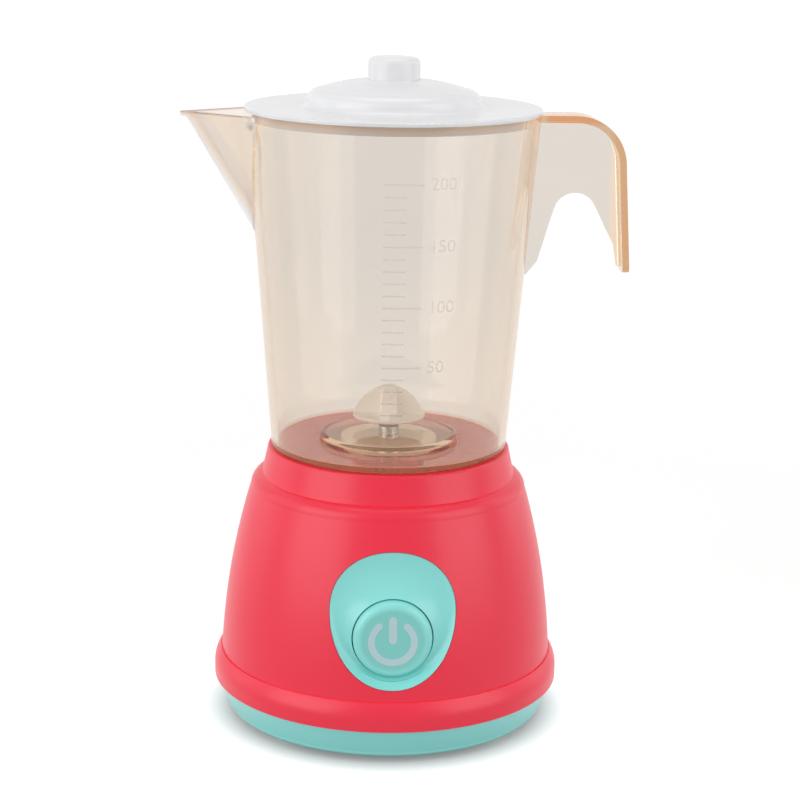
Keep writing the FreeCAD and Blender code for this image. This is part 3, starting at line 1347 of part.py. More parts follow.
def make_driven_disc():
    """Disc under the platform with one cored lug."""
    body = new_body("driven_disc")
    disc = sketch_on(body, "disc_sketch", "XY")
    circle(disc, "0", "0", "disc_r")
    circle(disc, "0", "0", "rotor_shaft_r + press_gap")
    pad(body, "disc", disc, "disc_thick")
    lug = sketch_on(body, "lug_sketch", "XY")
    box_outline(lug, "lug_r - lug_radial / 2", "lug_r + lug_radial / 2",
                "-lug_across / 2", "lug_across / 2")
    pad(body, "lug", lug, "lug_drop", back=True)
    core = sketch_on(body, "lug_core_sketch", "XY", "disc_thick")
    box_outline(core, "lug_r - lug_radial / 2 + lug_wall", "lug_r + lug_radial / 2 - lug_wall",
                "-lug_across / 2 + lug_wall", "lug_across / 2 - lug_wall")
    pocket(body, "lug_core", core, "disc_thick + lug_drop - lug_wall")
    angle = number("lug_angle")
    place(body, "0", "0", "disc_z", FreeCAD.Rotation(FreeCAD.Vector(0, 0, 1), angle))
    bind(body, "Placement.Rotation.Angle", "lug_angle")
    return body


# ---------------------------------------------------------------- lid

def make_lid():
    """White lid: rim, raised centre, hollow knob and a locating ring."""
    skirt_r = "(jug_rim_r - jug_wall - jug_slope * lid_skirt_drop - move_gap)"
    skirt_z = "(rim_z - lid_skirt_drop)"
    return turned("lid", [
        ("0", "knob_z"),
        ("0", "knob_z - lid_wall"),
        ("knob_r - lid_wall", "knob_z - lid_wall"),
        ("knob_r - lid_wall", "knob_low_z - lid_wall"),
        ("lid_crown_r - lid_wall / 2", "crown_z - lid_wall", "lid_crown_bow", -1),
        ("lid_step_r - lid_wall", "rim_z"),
        (f"{skirt_r} - lid_skirt_wall", "rim_z"),
        (f"{skirt_r} - lid_skirt_wall", skirt_z),
        (skirt_r, skirt_z),
        (skirt_r, "rim_z"),
        ("lid_r", "rim_z"),
        ("lid_r", "lid_z - lid_edge / 2"),
        ("lid_r - lid_edge / 2", "lid_z", "lid_edge / 2", 1),
        ("lid_step_r + lid_foot_round", "lid_z"),
        ("lid_step_r", "lid_z + lid_foot_round", "lid_foot_round", -1),
        ("lid_crown_r", "crown_z", "lid_step_round", 1),
        ("knob_r", "knob_low_z", "lid_crown_bow", 1),
        ("knob_r", "knob_z - knob_round"),
        ("knob_r - knob_round", "knob_z", "knob_round", 1)])


# ---------------------------------------------------------------- leads

def lead_path(points, bend):
    """Straight runs joined by tangent arcs."""
    edges = []
    start = points[0]
    for before, corner, after in zip(points, points[1:], points[2:]):
        into = (corner - before).normalize()
        out = (after - corner).normalize()
        turn = into.getAngle(out)
        cut = bend * math.tan(turn / 2)
        first, last = corner - into * cut, corner + out * cut
        bisector = (out - into).normalize()
        centre = corner + bisector * (bend / math.cos(turn / 2))
        middle = centre - bisector * bend
        edges.append(Part.makeLine(start, first))
        edges.append(Part.Arc(first, middle, last).toShape())
        start = last
    edges.append(Part.makeLine(start, points[-1]))
    return Part.Wire(edges)


def make_lead(label, route):
    """An insulated lead along its route."""
    points = [FreeCAD.Vector(*[number(part) for part in spot]) for spot in route]
    path = lead_path(points, number("lead_bend"))
    start = path.Edges[0]
    ring = Part.Wire([Part.makeCircle(number("lead_r"), points[0],
                                      start.tangentAt(start.FirstParameter))])
    tube = path.makePipeShell([ring], True, False)
    wanted = math.pi * number("lead_r") ** 2 * path.Length
    if abs(tube.Volume - wanted) > 0.02 * wanted:
        raise ValueError(f"{label}: the tube's volume is wrong")
    lead = doc.addObject("Part::Feature", label)
    lead.Label = label
    lead.Shape = tube
    PARTS.append(lead)
    return lead


def make_leads():
    """Cells to switch, switch to motor, motor to cells."""
    tag_x = "(bay_x - fit_gap - contact_sheet / 2)"
    switch_y = "-(bracket_front - switch_deep - terminal_long)"
    motor_z = "(end_cap_z - terminal_long)"
    slack = "-lead_slack_y"
    make_lead("lead_battery_switch", [
        (tag_x, "-cell_y", "tag_z"), (tag_x, "-cell_y", "lead_high_z"),
        ("terminal_pitch / 2", slack, "button_z"), ("terminal_pitch / 2", switch_y, "button_z")])
    make_lead("lead_switch_motor", [
        ("-terminal_pitch / 2", switch_y, "button_z"), ("-terminal_pitch / 2", slack, "button_z"),
        ("-motor_tag_x", "0", f"{motor_z} - 7"), ("-motor_tag_x", "0", motor_z)])
    make_lead("lead_motor_battery", [
        ("motor_tag_x", "0", motor_z), ("motor_tag_x", "0", f"{motor_z} - 7"),
        (tag_x, "cell_y", "lead_high_z"), (tag_x, "cell_y", "tag_z")])


# ---------------------------------------------------------------- assembly

def make_screws():
    """All screws, as sets of equal ones."""
    spots = [(f"{side_x} * column_x", f"{side_y} * column_y") for side_x, side_y in CORNERS]
    screw_set("base_screws", spots, "base_screw_length + cup_wall - 1", z="cup_z - cup_wall")
    screw_set("battery_door_screw", [("door_screw_x", "0")], "door_screw_length - 1",
              z="feet_drop")
    spots = [("0", "motor_screw_y"), ("0", "-motor_screw_y")]
    screw_set("motor_screws", spots, "motor_screw_length + strap_thick - 0.5",
              z="pillar_z - strap_thick")
    spots = [("post_x", "0"), ("-post_x", "0")]
    screw_set("switch_screws", spots, "switch_screw_length", y="-(bracket_front - bracket_thick)",
              z="button_z", turn=FORWARD)


def make_everything():
    fill_sheet()
    make_base_housing(make_housing_shell())
    make_base_plate()
    make_battery_door()
    make_cell("cell_front", 1)
    make_cell("cell_rear", -1)
    make_contact("contact_positive", "-1", "dimple_depth", "tag_z")
    make_contact("contact_negative", "1", "leaf_depth", "tag_z")
    make_contact_bridge()
    make_button_bezel()
    make_power_button()
    make_push_switch()
    make_switch_plunger()
    make_switch_bracket()
    make_motor_can()
    make_motor_end_cap()
    make_motor_bracket()
    make_motor_shaft()
    make_drive_arm()
    make_jug()
    make_shaft_bush()
    make_rotor()
    make_rotor_shaft()
    make_thrust_washer()
    make_driven_disc()
    make_lid()
    make_leads()
    make_screws()
    doc.recompute()


def check_everything():
    """Stop if an object failed or a shape is empty or invalid."""
    for thing in doc.Objects:
        if "Invalid" in thing.State or "Error" in thing.State:
            raise ValueError(f"{thing.Label}: {thing.State}")
    for thing in PARTS:
        if thing.Shape.isNull() or not thing.Shape.isValid():
            raise ValueError(f"{thing.Label}: its shape is empty or invalid")
        if not thing.Shape.Solids:
            raise ValueError(f"{thing.Label}: it has no solid")


def write_parts():
    os.makedirs("parts", exist_ok=True)
    for thing in PARTS:
        thing.Shape.exportStep(f"parts/{thing.Label}.step")
        box = thing.Shape.BoundBox
        print(f"{thing.Label}: {len(thing.Shape.Solids)} solid(s), {len(thing.Shape.Faces)} faces,"
              f" z {box.ZMin:.2f} to {box.ZMax:.2f}")


make_everything()
check_everything()
write_parts()
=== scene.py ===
# %% [markdown]
# # A toy blender, dressed in Blender
# The solids of the toy come from the imported frame: housing, base plate, button, jug, rotor, lid
# and everything inside. This lesson gives them their finishes, adds the two prints that the toy
# carries, and sets up the table, the light and the camera. First the frame is loaded. All lengths
# are in metres.

# %% Load the solids
import math
import bpy
from mathutils import Matrix, Vector


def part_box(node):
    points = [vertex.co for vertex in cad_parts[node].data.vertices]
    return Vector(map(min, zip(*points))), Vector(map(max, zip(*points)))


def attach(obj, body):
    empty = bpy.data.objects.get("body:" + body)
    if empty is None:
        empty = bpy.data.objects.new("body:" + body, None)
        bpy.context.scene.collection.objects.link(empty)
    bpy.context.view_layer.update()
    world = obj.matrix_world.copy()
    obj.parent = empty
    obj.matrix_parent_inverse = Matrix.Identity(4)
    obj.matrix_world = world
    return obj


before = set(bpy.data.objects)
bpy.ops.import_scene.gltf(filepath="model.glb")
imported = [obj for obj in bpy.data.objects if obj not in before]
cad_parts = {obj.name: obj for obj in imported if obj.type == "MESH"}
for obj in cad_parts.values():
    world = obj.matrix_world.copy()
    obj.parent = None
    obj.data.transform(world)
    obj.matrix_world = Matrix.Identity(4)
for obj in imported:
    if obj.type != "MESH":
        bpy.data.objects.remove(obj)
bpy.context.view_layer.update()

# %% [markdown]
# ## Camera
# The toy is seen from a little above and quite near, so the jug's rim opens up and the spout and
# handle spread. A camera can be aimed by turning it, or by giving it the three directions that
# its frame has in space. The second way is used, because those directions are what is known:
# the way it looks, the way to its right and the way up. Last, the whole stand is carried a few
# degrees round the toy, so that the button is not seen quite square on.

# %% Camera
PITCH, YAW, ROLL, ROUND_TOY = (math.radians(angle) for angle in (14.02, 0.31, 0.98, -2.6))
STANDPOINT = (0.0, -0.61215, 0.2504)
SENSOR_WIDE, FOCAL_PIXELS, FRAME_PIXELS = 36.0, 2076, 800

ahead = Vector((math.sin(YAW) * math.cos(PITCH), math.cos(YAW) * math.cos(PITCH),
                -math.sin(PITCH)))
level_right = ahead.cross(Vector((0, 0, 1))).normalized()
level_up = level_right.cross(ahead)
right = level_right * math.cos(ROLL) + level_up * math.sin(ROLL)
up = level_up * math.cos(ROLL) - level_right * math.sin(ROLL)
aimed = Matrix((right, up, -ahead)).transposed().to_4x4()

camera_data = bpy.data.cameras.new("camera")
camera_data.sensor_width = SENSOR_WIDE
camera_data.lens = FOCAL_PIXELS * SENSOR_WIDE / FRAME_PIXELS
camera_data.clip_start = 0.01
camera = bpy.data.objects.new("camera", camera_data)
bpy.context.collection.objects.link(camera)
camera.matrix_world = (Matrix.Rotation(ROUND_TOY, 4, "Z") @ Matrix.Translation(STANDPOINT)
                       @ aimed)
bpy.context.scene.camera = camera
print("lens", round(camera_data.lens, 1), "mm")

# %% [markdown]
# ## Room, table and lamps
# A product on white paper stands on a pale sheet that runs off into a white room. The room gives
# a weak even light, but the camera, mirror images and the view through the clear jug see it
# white. The Light Path node tells which kind of ray asks, so the world can answer each in its
# own way. Node trees are built in code here, so a few small helpers come first.


# %% Helpers for node trees
def feed(tree, value, socket):
    """Link a socket to another one, or give it a plain value."""
    if isinstance(value, bpy.types.NodeSocket):
        tree.links.new(value, socket)
    else:
        socket.default_value = value


def math_node(tree, kind, first, second):
    """One sum; each side is a socket or a number."""
    node = tree.nodes.new("ShaderNodeMath")
    node.operation = kind
    feed(tree, first, node.inputs[0])
    feed(tree, second, node.inputs[1])
    return node.outputs[0]


def is_ray(tree, *kinds):
    """1 where the ray is of one of the named kinds, otherwise 0."""
    path = tree.nodes.new("ShaderNodeLightPath")
    found = path.outputs[kinds[0]]
    for kind in kinds[1:]:
        found = math_node(tree, "MAXIMUM", found, path.outputs[kind])
    return found


def mix_shaders(tree, share, first, second):
    """The first shader where the share is 0, the second where it is 1."""
    mix = tree.nodes.new("ShaderNodeMixShader")
    for source, socket in zip((share, first, second), mix.inputs):
        tree.links.new(source, socket)
    return mix.outputs[0]


def grey(level):
    """An even colour of one level."""
    return (level, level, level, 1.0)


# %% White room
SEEN_BY = ("Is Camera Ray", "Is Glossy Ray", "Is Transmission Ray")
FILL_LIGHT, SHOWN_WHITE = 0.36, 1.0
scene = bpy.context.scene
scene.view_settings.view_transform = "Standard"
room = bpy.data.worlds.new("white_room")
scene.world = room
room.use_nodes = True
tree = room.node_tree
fill = tree.nodes["Background"]
shown = tree.nodes.new("ShaderNodeBackground")
for background, strength in ((fill, FILL_LIGHT), (shown, SHOWN_WHITE)):
    background.inputs["Color"].default_value = grey(1.0)
    background.inputs["Strength"].default_value = strength
tree.links.new(mix_shaders(tree, is_ray(tree, *SEEN_BY), fill.outputs[0], shown.outputs[0]),
               tree.nodes["World Output"].inputs["Surface"])
print("the room lights with", FILL_LIGHT, "and is seen at", SHOWN_WHITE)

# %% [markdown]
# The sheet is one wide plane, and it takes the toy's shadow as any surface does. The lamps stand
# near the toy, so their light falls off along the sheet, and the sheet glows a little to make up
# for it. The glow is painted light. It is almost nothing under the toy, so the shadow stays dark
# there, and strong close round the base plate, where it paints out much of the toy's shadow. It
# is least some 30 cm away, and grows again from there. Only the rays that see the room white see
# the glow too, so it sends no light onto the toy.


# %% Paper on the table
def deselect():
    """Nothing stays selected, so the next operator acts only on what it makes."""
    if bpy.context.object and bpy.context.object.mode != "OBJECT":
        bpy.ops.object.mode_set(mode="OBJECT")
    bpy.ops.object.select_all(action="DESELECT")


def plain_material(name):
    """A new material with its node tree and its shader."""
    material = bpy.data.materials.new(name)
    material.use_nodes = True
    return material, material.node_tree, material.node_tree.nodes["Principled BSDF"]


def object_place(tree):
    """The place of each point on the object."""
    return tree.nodes.new("ShaderNodeTexCoord").outputs["Object"]


PAPER_WIDE, PAPER_LEVEL, PAPER_ROUGH = 14.0, 0.45, 0.9
deselect()
bpy.ops.mesh.primitive_plane_add(size=PAPER_WIDE, location=(0, 0, 0))
paper = bpy.context.object
paper.name = "paper"
paper_material, tree, shader = plain_material("pale_paper")
shader.inputs["Base Color"].default_value = grey(PAPER_LEVEL)
shader.inputs["Roughness"].default_value = PAPER_ROUGH
shader.inputs["Emission Color"].default_value = grey(1.0)
print("paper", paper.dimensions.x, "m wide")

# %% Glow of the paper
GLOW_REACH = 3.0
GLOW_MIDDLE, GLOW_FAR = 0.05, 0.84
# painted light: strong just outside the base plate, where it lightens the toy's shadow
GLOW_BY_DISTANCE = (  # metres from the middle, level
    (0.0441, 0.08), (0.0468, 0.20), (0.0489, 0.62), (0.0516, 0.86), (0.0615, 0.86),
    (0.084, 0.70), (0.15, 0.61), (0.201, 0.59), (0.30, 0.585), (0.501, 0.615), (0.801, 0.685),
    (1.20, 0.755), (2.001, 0.815))
away = tree.nodes.new("ShaderNodeVectorMath")
away.operation = "LENGTH"
tree.links.new(object_place(tree), away.inputs[0])
part_way = tree.nodes.new("ShaderNodeMapRange")
part_way.inputs["From Max"].default_value = GLOW_REACH
tree.links.new(away.outputs["Value"], part_way.inputs["Value"])
by_distance = tree.nodes.new("ShaderNodeValToRGB")
ramp = by_distance.color_ramp.elements
ramp[0].color, ramp[1].color = grey(GLOW_MIDDLE), grey(GLOW_FAR)
for distance, level in GLOW_BY_DISTANCE:
    ramp.new(distance / GLOW_REACH).color = grey(level)
tree.links.new(part_way.outputs["Result"], by_distance.inputs["Fac"])
tree.links.new(math_node(tree, "MULTIPLY", is_ray(tree, *SEEN_BY), by_distance.outputs["Color"]),
               shader.inputs["Emission Strength"])
paper.data.materials.append(paper_material)
print("glow set at", len(ramp), "distances up to", GLOW_REACH, "m")

# %% [markdown]
# Two large soft boxes stand to the left and right in front. They are wide and weak, so that their
# mirror images on the gloss are broad and pale. Two narrower strips beside the toy and a little
# behind it brighten its flanks. A wide box overhead fills the shoulder and the lid.

# %% Soft boxes
LAMPS_AIM = (0, 0, 0.10)
LAMPS = (  # name, spot, width, height, watts
    ("soft_box_left", (-1.10, -0.69, 0.55), 1.20, 1.20, 10.6),
    ("soft_box_right", (1.10, -0.69, 0.55), 1.10, 1.20, 8.2),
    ("soft_box_top", (0.0, 0.10, 1.15), 0.90, 0.70, 3.0),
    ("side_strip_left", (-1.05, 0.34, 0.40), 0.60, 1.00, 1.3),
    ("side_strip_right", (1.02, 0.41, 0.40), 0.60, 1.00, 1.3))
for name, spot, wide, high, watts in LAMPS:
    lamp = bpy.data.lights.new(name, "AREA")
    lamp.shape = "RECTANGLE"
    lamp.size, lamp.size_y = wide, high
    lamp.energy = watts
    holder = bpy.data.objects.new(name, lamp)
    bpy.context.collection.objects.link(holder)
    holder.location = spot
    holder.rotation_euler = (Vector(LAMPS_AIM) - Vector(spot)).to_track_quat("-Z", "Y").to_euler()
print("lamps:", [lamp.name for lamp in bpy.data.lights])

# %% [markdown]
# ## Shader groups
# Moulded plastic is never quite even. Its colour drifts a little over some centimetres, its
# gloss changes where hands have rubbed it, and its skin has a very fine ripple, the orange peel
# that comes off the mould. All the plastic pieces share that, in different amounts, so it is
# made once, as a group with named sockets, and each material sets its own values.


# %% Helpers for groups
def new_group(name, inputs, outputs):
    """An empty shader group with named sockets."""
    group = bpy.data.node_groups.new(name, "ShaderNodeTree")
    for socket, kind, value in inputs:
        made = group.interface.new_socket(socket, in_out="INPUT", socket_type="NodeSocket" + kind)
        made.default_value = value
    for socket, kind in outputs:
        group.interface.new_socket(socket, in_out="OUTPUT", socket_type="NodeSocket" + kind)
    inside = group.nodes.new("NodeGroupInput")
    outside = group.nodes.new("NodeGroupOutput")
    return group, inside, outside


def noise_node(group, place, waves, detail=2.0, roughness=0.5):
    """Noise at a place; waves per metre is a socket or a number."""
    node = group.nodes.new("ShaderNodeTexNoise")
    for socket, value in (("Vector", place), ("Scale", waves), ("Detail", detail),
                          ("Roughness", roughness)):
        feed(group, value, node.inputs[socket])
    return node.outputs["Fac"]


def scaled_colour(group, colour, level):
    """A colour made lighter or darker by a level."""
    node = group.nodes.new("ShaderNodeVectorMath")
    node.operation = "SCALE"
    group.links.new(colour, node.inputs[0])
    group.links.new(level, node.inputs["Scale"])
    return node.outputs[0]


# %% Moulded skin
DRIFT_WAVES, RUBBED_WAVES = 26.0, 55.0
skin, given, made = new_group(
    "moulded_skin",
    [("Colour", "Color", grey(0.8)), ("Drift", "Float", 0.05),
     ("Gloss", "Float", 0.2), ("Rubbed", "Float", 0.06), ("Ripple size", "Float", 700.0)],
    [("Colour", "Color"), ("Roughness", "Float"), ("Height", "Float")])
place = object_place(skin)
slow = noise_node(skin, place, DRIFT_WAVES, 3.0)
drift = math_node(skin, "MULTIPLY", math_node(skin, "SUBTRACT", slow, 0.5),
                  given.outputs["Drift"])
tinted = scaled_colour(skin, given.outputs["Colour"], math_node(skin, "ADD", drift, 1.0))
skin.links.new(tinted, made.inputs["Colour"])
hands = noise_node(skin, place, RUBBED_WAVES, 5.0, 0.62)
worn = math_node(skin, "MULTIPLY", hands, given.outputs["Rubbed"])
skin.links.new(math_node(skin, "ADD", given.outputs["Gloss"], worn), made.inputs["Roughness"])
skin.links.new(noise_node(skin, place, given.outputs["Ripple size"]), made.inputs["Height"])
print("group", skin.name, "with", len(skin.nodes), "nodes")

# %% [markdown]
# Rolled or drawn metal has fine lines one way. The same noise, stretched along an axis, gives
# them: the place is squeezed in two directions and left long in the third. A slow blotch under
# the lines keeps a wide flat piece from looking even.

# %% Drawn metal
LINE_WAVES, BLOTCH_WAVES = 2600.0, 160.0
BLOTCH_SHARE, DARKEST_BLOTCH = 0.12, 0.92
drawn, given, made = new_group(
    "drawn_metal",
    [("Colour", "Color", grey(0.6)), ("Stretch", "Vector", (1.0, 1.0, 0.04)),
     ("Gloss", "Float", 0.28), ("Line depth", "Float", 0.18)],
    [("Colour", "Color"), ("Roughness", "Float"), ("Height", "Float")])
place = object_place(drawn)
squeezed = drawn.nodes.new("ShaderNodeVectorMath")
squeezed.operation = "MULTIPLY"
drawn.links.new(place, squeezed.inputs[0])
drawn.links.new(given.outputs["Stretch"], squeezed.inputs[1])
lines = noise_node(drawn, squeezed.outputs[0], LINE_WAVES, 4.0, 0.6)
depth = math_node(drawn, "MULTIPLY", math_node(drawn, "SUBTRACT", lines, 0.5),
                  given.outputs["Line depth"])
blotch = math_node(drawn, "MULTIPLY", noise_node(drawn, place, BLOTCH_WAVES, 3.0), BLOTCH_SHARE)
level = math_node(drawn, "ADD", blotch, math_node(drawn, "ADD", depth, DARKEST_BLOTCH))
drawn.links.new(scaled_colour(drawn, given.outputs["Colour"], level), made.inputs["Colour"])
drawn.links.new(math_node(drawn, "ADD", given.outputs["Gloss"], depth), made.inputs["Roughness"])
drawn.links.new(lines, made.inputs["Height"])
print("group", drawn.name, "with", len(drawn.nodes), "nodes")

# %% [markdown]
# ## Materials
# Each finish is one material: a group that gives colour, roughness and height, a Bump node, and
# the Principled shader. What is the same all over the piece, such as the index of refraction, is
# typed on the shader itself.


# %% A material from a group
def use_group(tree, shader, group, values, bump_height):
    """Put a group in front of the shader: colour, roughness, and height through a bump."""
    node = tree.nodes.new("ShaderNodeGroup")
    node.node_tree = group
    for socket, value in values.items():
        node.inputs[socket].default_value = value
    bump = tree.nodes.new("ShaderNodeBump")
    bump.inputs["Strength"].default_value = 1.0
    bump.inputs["Distance"].default_value = bump_height
    tree.links.new(node.outputs["Height"], bump.inputs["Height"])
    tree.links.new(node.outputs["Colour"], shader.inputs["Base Color"])
    tree.links.new(node.outputs["Roughness"], shader.inputs["Roughness"])
    tree.links.new(bump.outputs["Normal"], shader.inputs["Normal"])
    return node


def moulded(name, colour, gloss, drift=0.06, rubbed=0.06):
    """A moulded plastic."""
    material, tree, shader = plain_material(name)
    use_group(tree, shader, skin,
              {"Colour": (*colour, 1.0), "Drift": drift, "Gloss": gloss, "Rubbed": rubbed,
               "Ripple size": 620.0}, bump_height=0.000006)
    shader.inputs["IOR"].default_value = 1.5
    return material


def metal(name, colour, stretch, gloss=0.26):
    """A plated or rolled metal."""
    material, tree, shader = plain_material(name)
    use_group(tree, shader, drawn,
              {"Colour": (*colour, 1.0), "Stretch": stretch, "Gloss": gloss,
               "Line depth": 0.18}, bump_height=0.000004)
    shader.inputs["Metallic"].default_value = 1.0
    return material


# %% [markdown]
# The housing is coral red, the plate, the ring and the button are mint, the lid is white and the
# rotor cream. They are the same kind of plastic with different pigment, glossy on the outside.
# The rotor and lid let a little light in, which subsurface scattering stands for. The coral's
# mirror image is set a little weaker, so that its strong colour stays full under the lamps.

# %% Outside plastics
MINT = (0.28, 0.785, 0.745)
coral = moulded("coral_plastic", (0.90, 0.026, 0.062), gloss=0.28, drift=0.07, rubbed=0.08)
mint = moulded("mint_plastic", MINT, gloss=0.21, drift=0.05)
white = moulded("white_plastic", (0.78, 0.78, 0.795), gloss=0.20, drift=0.03)
cream = moulded("cream_plastic", (0.97, 0.945, 0.90), gloss=0.24, rubbed=0.10)
for material in (white, cream):
    shader = material.node_tree.nodes["Principled BSDF"]
    shader.inputs["Subsurface Weight"].default_value = 0.15
    shader.inputs["Subsurface Radius"].default_value = (0.003, 0.0025, 0.002)
coral.node_tree.nodes["Principled BSDF"].inputs["Specular IOR Level"].default_value = 0.42
print("outside plastics:", coral.name, mint.name, white.name, cream.name)

# %% [markdown]
# Inside there is plain undyed plastic for the drive arm, the switch's parts and the motor's end
# cap, black for the switch, plated steel, nickel-plated contact sheet, the motor's can, and
# three colours of insulated wire. They only show with the base taken apart, but they get real
# finishes too.

# %% Inside finishes
undyed = moulded("undyed_plastic", (0.72, 0.71, 0.66), gloss=0.42, drift=0.05, rubbed=0.1)
black = moulded("black_plastic", (0.018, 0.018, 0.020), gloss=0.45, drift=0.2, rubbed=0.1)
steel = metal("plated_steel", (0.60, 0.61, 0.62), (1.0, 1.0, 0.05))
nickel = metal("nickel_sheet", (0.72, 0.70, 0.65), (0.06, 1.0, 1.0), gloss=0.2)
can_metal = metal("motor_can_metal", (0.62, 0.63, 0.65), (1.0, 1.0, 0.03), gloss=0.3)
red_wire = moulded("red_wire", (0.55, 0.012, 0.010), gloss=0.35)
yellow_wire = moulded("yellow_wire", (0.70, 0.42, 0.02), gloss=0.35)
black_wire = moulded("black_wire", (0.012, 0.012, 0.012), gloss=0.35)
print("materials so far:", len(bpy.data.materials))

# %% [markdown]
# A cell has a printed film round it, dark along most of its length with a bright band at each
# end. The film is drawn by place: the distance along X decides which colour shows. A mask is a
# Map Range node, and a Mix node lays one colour over another where the mask is 1.


# %% Cell jacket
def beyond(tree, value, start, end, kind="SMOOTHSTEP"):
    """A mask that goes from 0 to 1 while a value goes from start to end."""
    mask = tree.nodes.new("ShaderNodeMapRange")
    mask.interpolation_type = kind
    mask.inputs["From Min"].default_value = start
    mask.inputs["From Max"].default_value = end
    tree.links.new(value, mask.inputs["Value"])
    return mask.outputs["Result"]


def layered(tree, colour, *layers):
    """A colour with others laid over it in turn, each with the mask where it shows."""
    result = (*colour, 1.0)
    for over, mask in layers:
        mix = tree.nodes.new("ShaderNodeMix")
        mix.data_type = "RGBA"
        feed(tree, result, mix.inputs["A"])
        mix.inputs["B"].default_value = (*over, 1.0)
        tree.links.new(mask, mix.inputs["Factor"])
        result = mix.outputs["Result"]
    return result


def along_axes(tree, place):
    """The three parts of a place."""
    parts = tree.nodes.new("ShaderNodeSeparateXYZ")
    tree.links.new(place, parts.inputs[0])
    return parts.outputs


BAND_EDGE = (0.0155, 0.0157)  # from the middle of the cell
jacket, tree, shader = plain_material("cell_jacket")
node = use_group(tree, shader, drawn,
                 {"Stretch": (0.04, 1.0, 1.0), "Gloss": 0.25, "Line depth": 0.06},
                 bump_height=0.000002)
from_middle = tree.nodes.new("ShaderNodeMath")
from_middle.operation = "ABSOLUTE"
tree.links.new(along_axes(tree, object_place(tree))["X"], from_middle.inputs[0])
band = beyond(tree, from_middle.outputs[0], *BAND_EDGE, kind="LINEAR")
tree.links.new(layered(tree, (0.012, 0.020, 0.045), ((0.60, 0.60, 0.60), band)),
               node.inputs["Colour"])
shader.inputs["Metallic"].default_value = 0.6
print("the film's bright bands start", BAND_EDGE[0] * 1000, "mm from the middle")

# %% [markdown]
# ## Clear amber plastic
# The jug is clear with a faint amber tint. Looking through one wall the tint is hardly there,
# and along a wall, at the rim, the handle's strip and the edges, it is deep. So most of the
# colour belongs to the thickness: a Volume Absorption node takes out a little blue with every
# millimetre. The surface adds a faint tint of its own, which changes from place to place.
#
# Where the plastic ends, at the rim, the spout's lip and the handle's strip, the light that ran
# along inside the wall comes out, and the amber shows most. Those places are found by where they
# lie on the jug: how far along X, how high, and how far from the jug's axis or from the plane
# that halves spout and handle. Such a distance is kept as its square, which needs no root.


# %% Clear amber
def squared(tree, value):
    """A value times itself."""
    return math_node(tree, "MULTIPLY", value, value)


amber, tree, shader = plain_material("clear_amber_plastic")
clear = use_group(tree, shader, skin,
                  {"Drift": 0.01, "Gloss": 0.01, "Rubbed": 0.05, "Ripple size": 300.0},
                  bump_height=0.0000015)
along_x, across_y, up_z = along_axes(tree, object_place(tree))
from_plane_2 = squared(tree, across_y)
from_axis_2 = math_node(tree, "ADD", squared(tree, along_x), from_plane_2)
jug_low, jug_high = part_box("jug")
strip_x, rim_z = jug_high[0], jug_high[2]
print("the jug reaches from x", round(jug_low[0], 4), "to", round(strip_x, 4), "and up to z",
      round(rim_z, 4))

# %% [markdown]
# Each place is a product of masks, which is 1 only where all of them are. A pair of numbers says
# where its edge starts and ends: the mask is 0 at the first and 1 at the second. Along X lie the
# spout, on the left, and the handle, on the right. Across Y lies how thick something is on each
# side of the plane through both, and up Z lie the floor and the rim.


# %% Places on the jug
def beyond_distance(tree, distance_2, start, end):
    """The mask of beyond(), for a distance that is given by its square."""
    return beyond(tree, distance_2, start ** 2, end ** 2)


def both(tree, first, second):
    """A mask that is 1 where both masks are."""
    return math_node(tree, "MULTIPLY", first, second)


RIM_EDGE, TOP_EDGE, LIP_EDGE = ((rim_z - start, rim_z - end) for start, end in (
    (0.0024, 0.0012), (0.0036, 0.0030), (0.0016, 0.0008)))
STRIP_EDGE = (strip_x - 0.0068, strip_x - 0.0050)
HANDLE_START, TOP_START, SPOUT_START = (0.0395, 0.0400), (0.0445, 0.0460), (-0.0400, -0.0415)
WEB_SIDE, SPOUT_SIDE, KEEL_SIDE = (0.0018, 0.0013), (0.0150, 0.0130), (0.0042, 0.0034)
INNER_FLOOR, INNER_TOP = (0.0315, 0.0305), (0.0910, 0.0900)
OUTER_FLOOR, OUTER_TOP = (0.0215, 0.0222), (0.0868, 0.0862)

near_rim = beyond(tree, up_z, *RIM_EDGE)
on_web = both(tree, beyond(tree, along_x, *HANDLE_START),
              beyond_distance(tree, from_plane_2, *WEB_SIDE))
on_strip = beyond(tree, along_x, *STRIP_EDGE)
on_top = both(tree, beyond(tree, along_x, *TOP_START), beyond(tree, up_z, *TOP_EDGE))
on_spout = both(tree, beyond(tree, along_x, *SPOUT_START),
                beyond_distance(tree, from_plane_2, *SPOUT_SIDE))
on_keel = both(tree, on_spout, beyond_distance(tree, from_plane_2, *KEEL_SIDE))
on_lip = both(tree, on_spout, beyond(tree, up_z, *LIP_EDGE))
inner_floor = both(tree, beyond_distance(tree, from_axis_2, *INNER_FLOOR),
                   beyond(tree, up_z, *INNER_TOP))
outer_floor = both(tree, beyond_distance(tree, from_axis_2, *OUTER_FLOOR),
                   beyond(tree, up_z, *OUTER_TOP))
print("masks for the jug take", len(tree.nodes), "nodes")

# %% [markdown]
# With the masks made, the tints are laid over one another: first the wall's, then those of what
# lies on it. The floor gets none, because the pieces under it are seen through it.

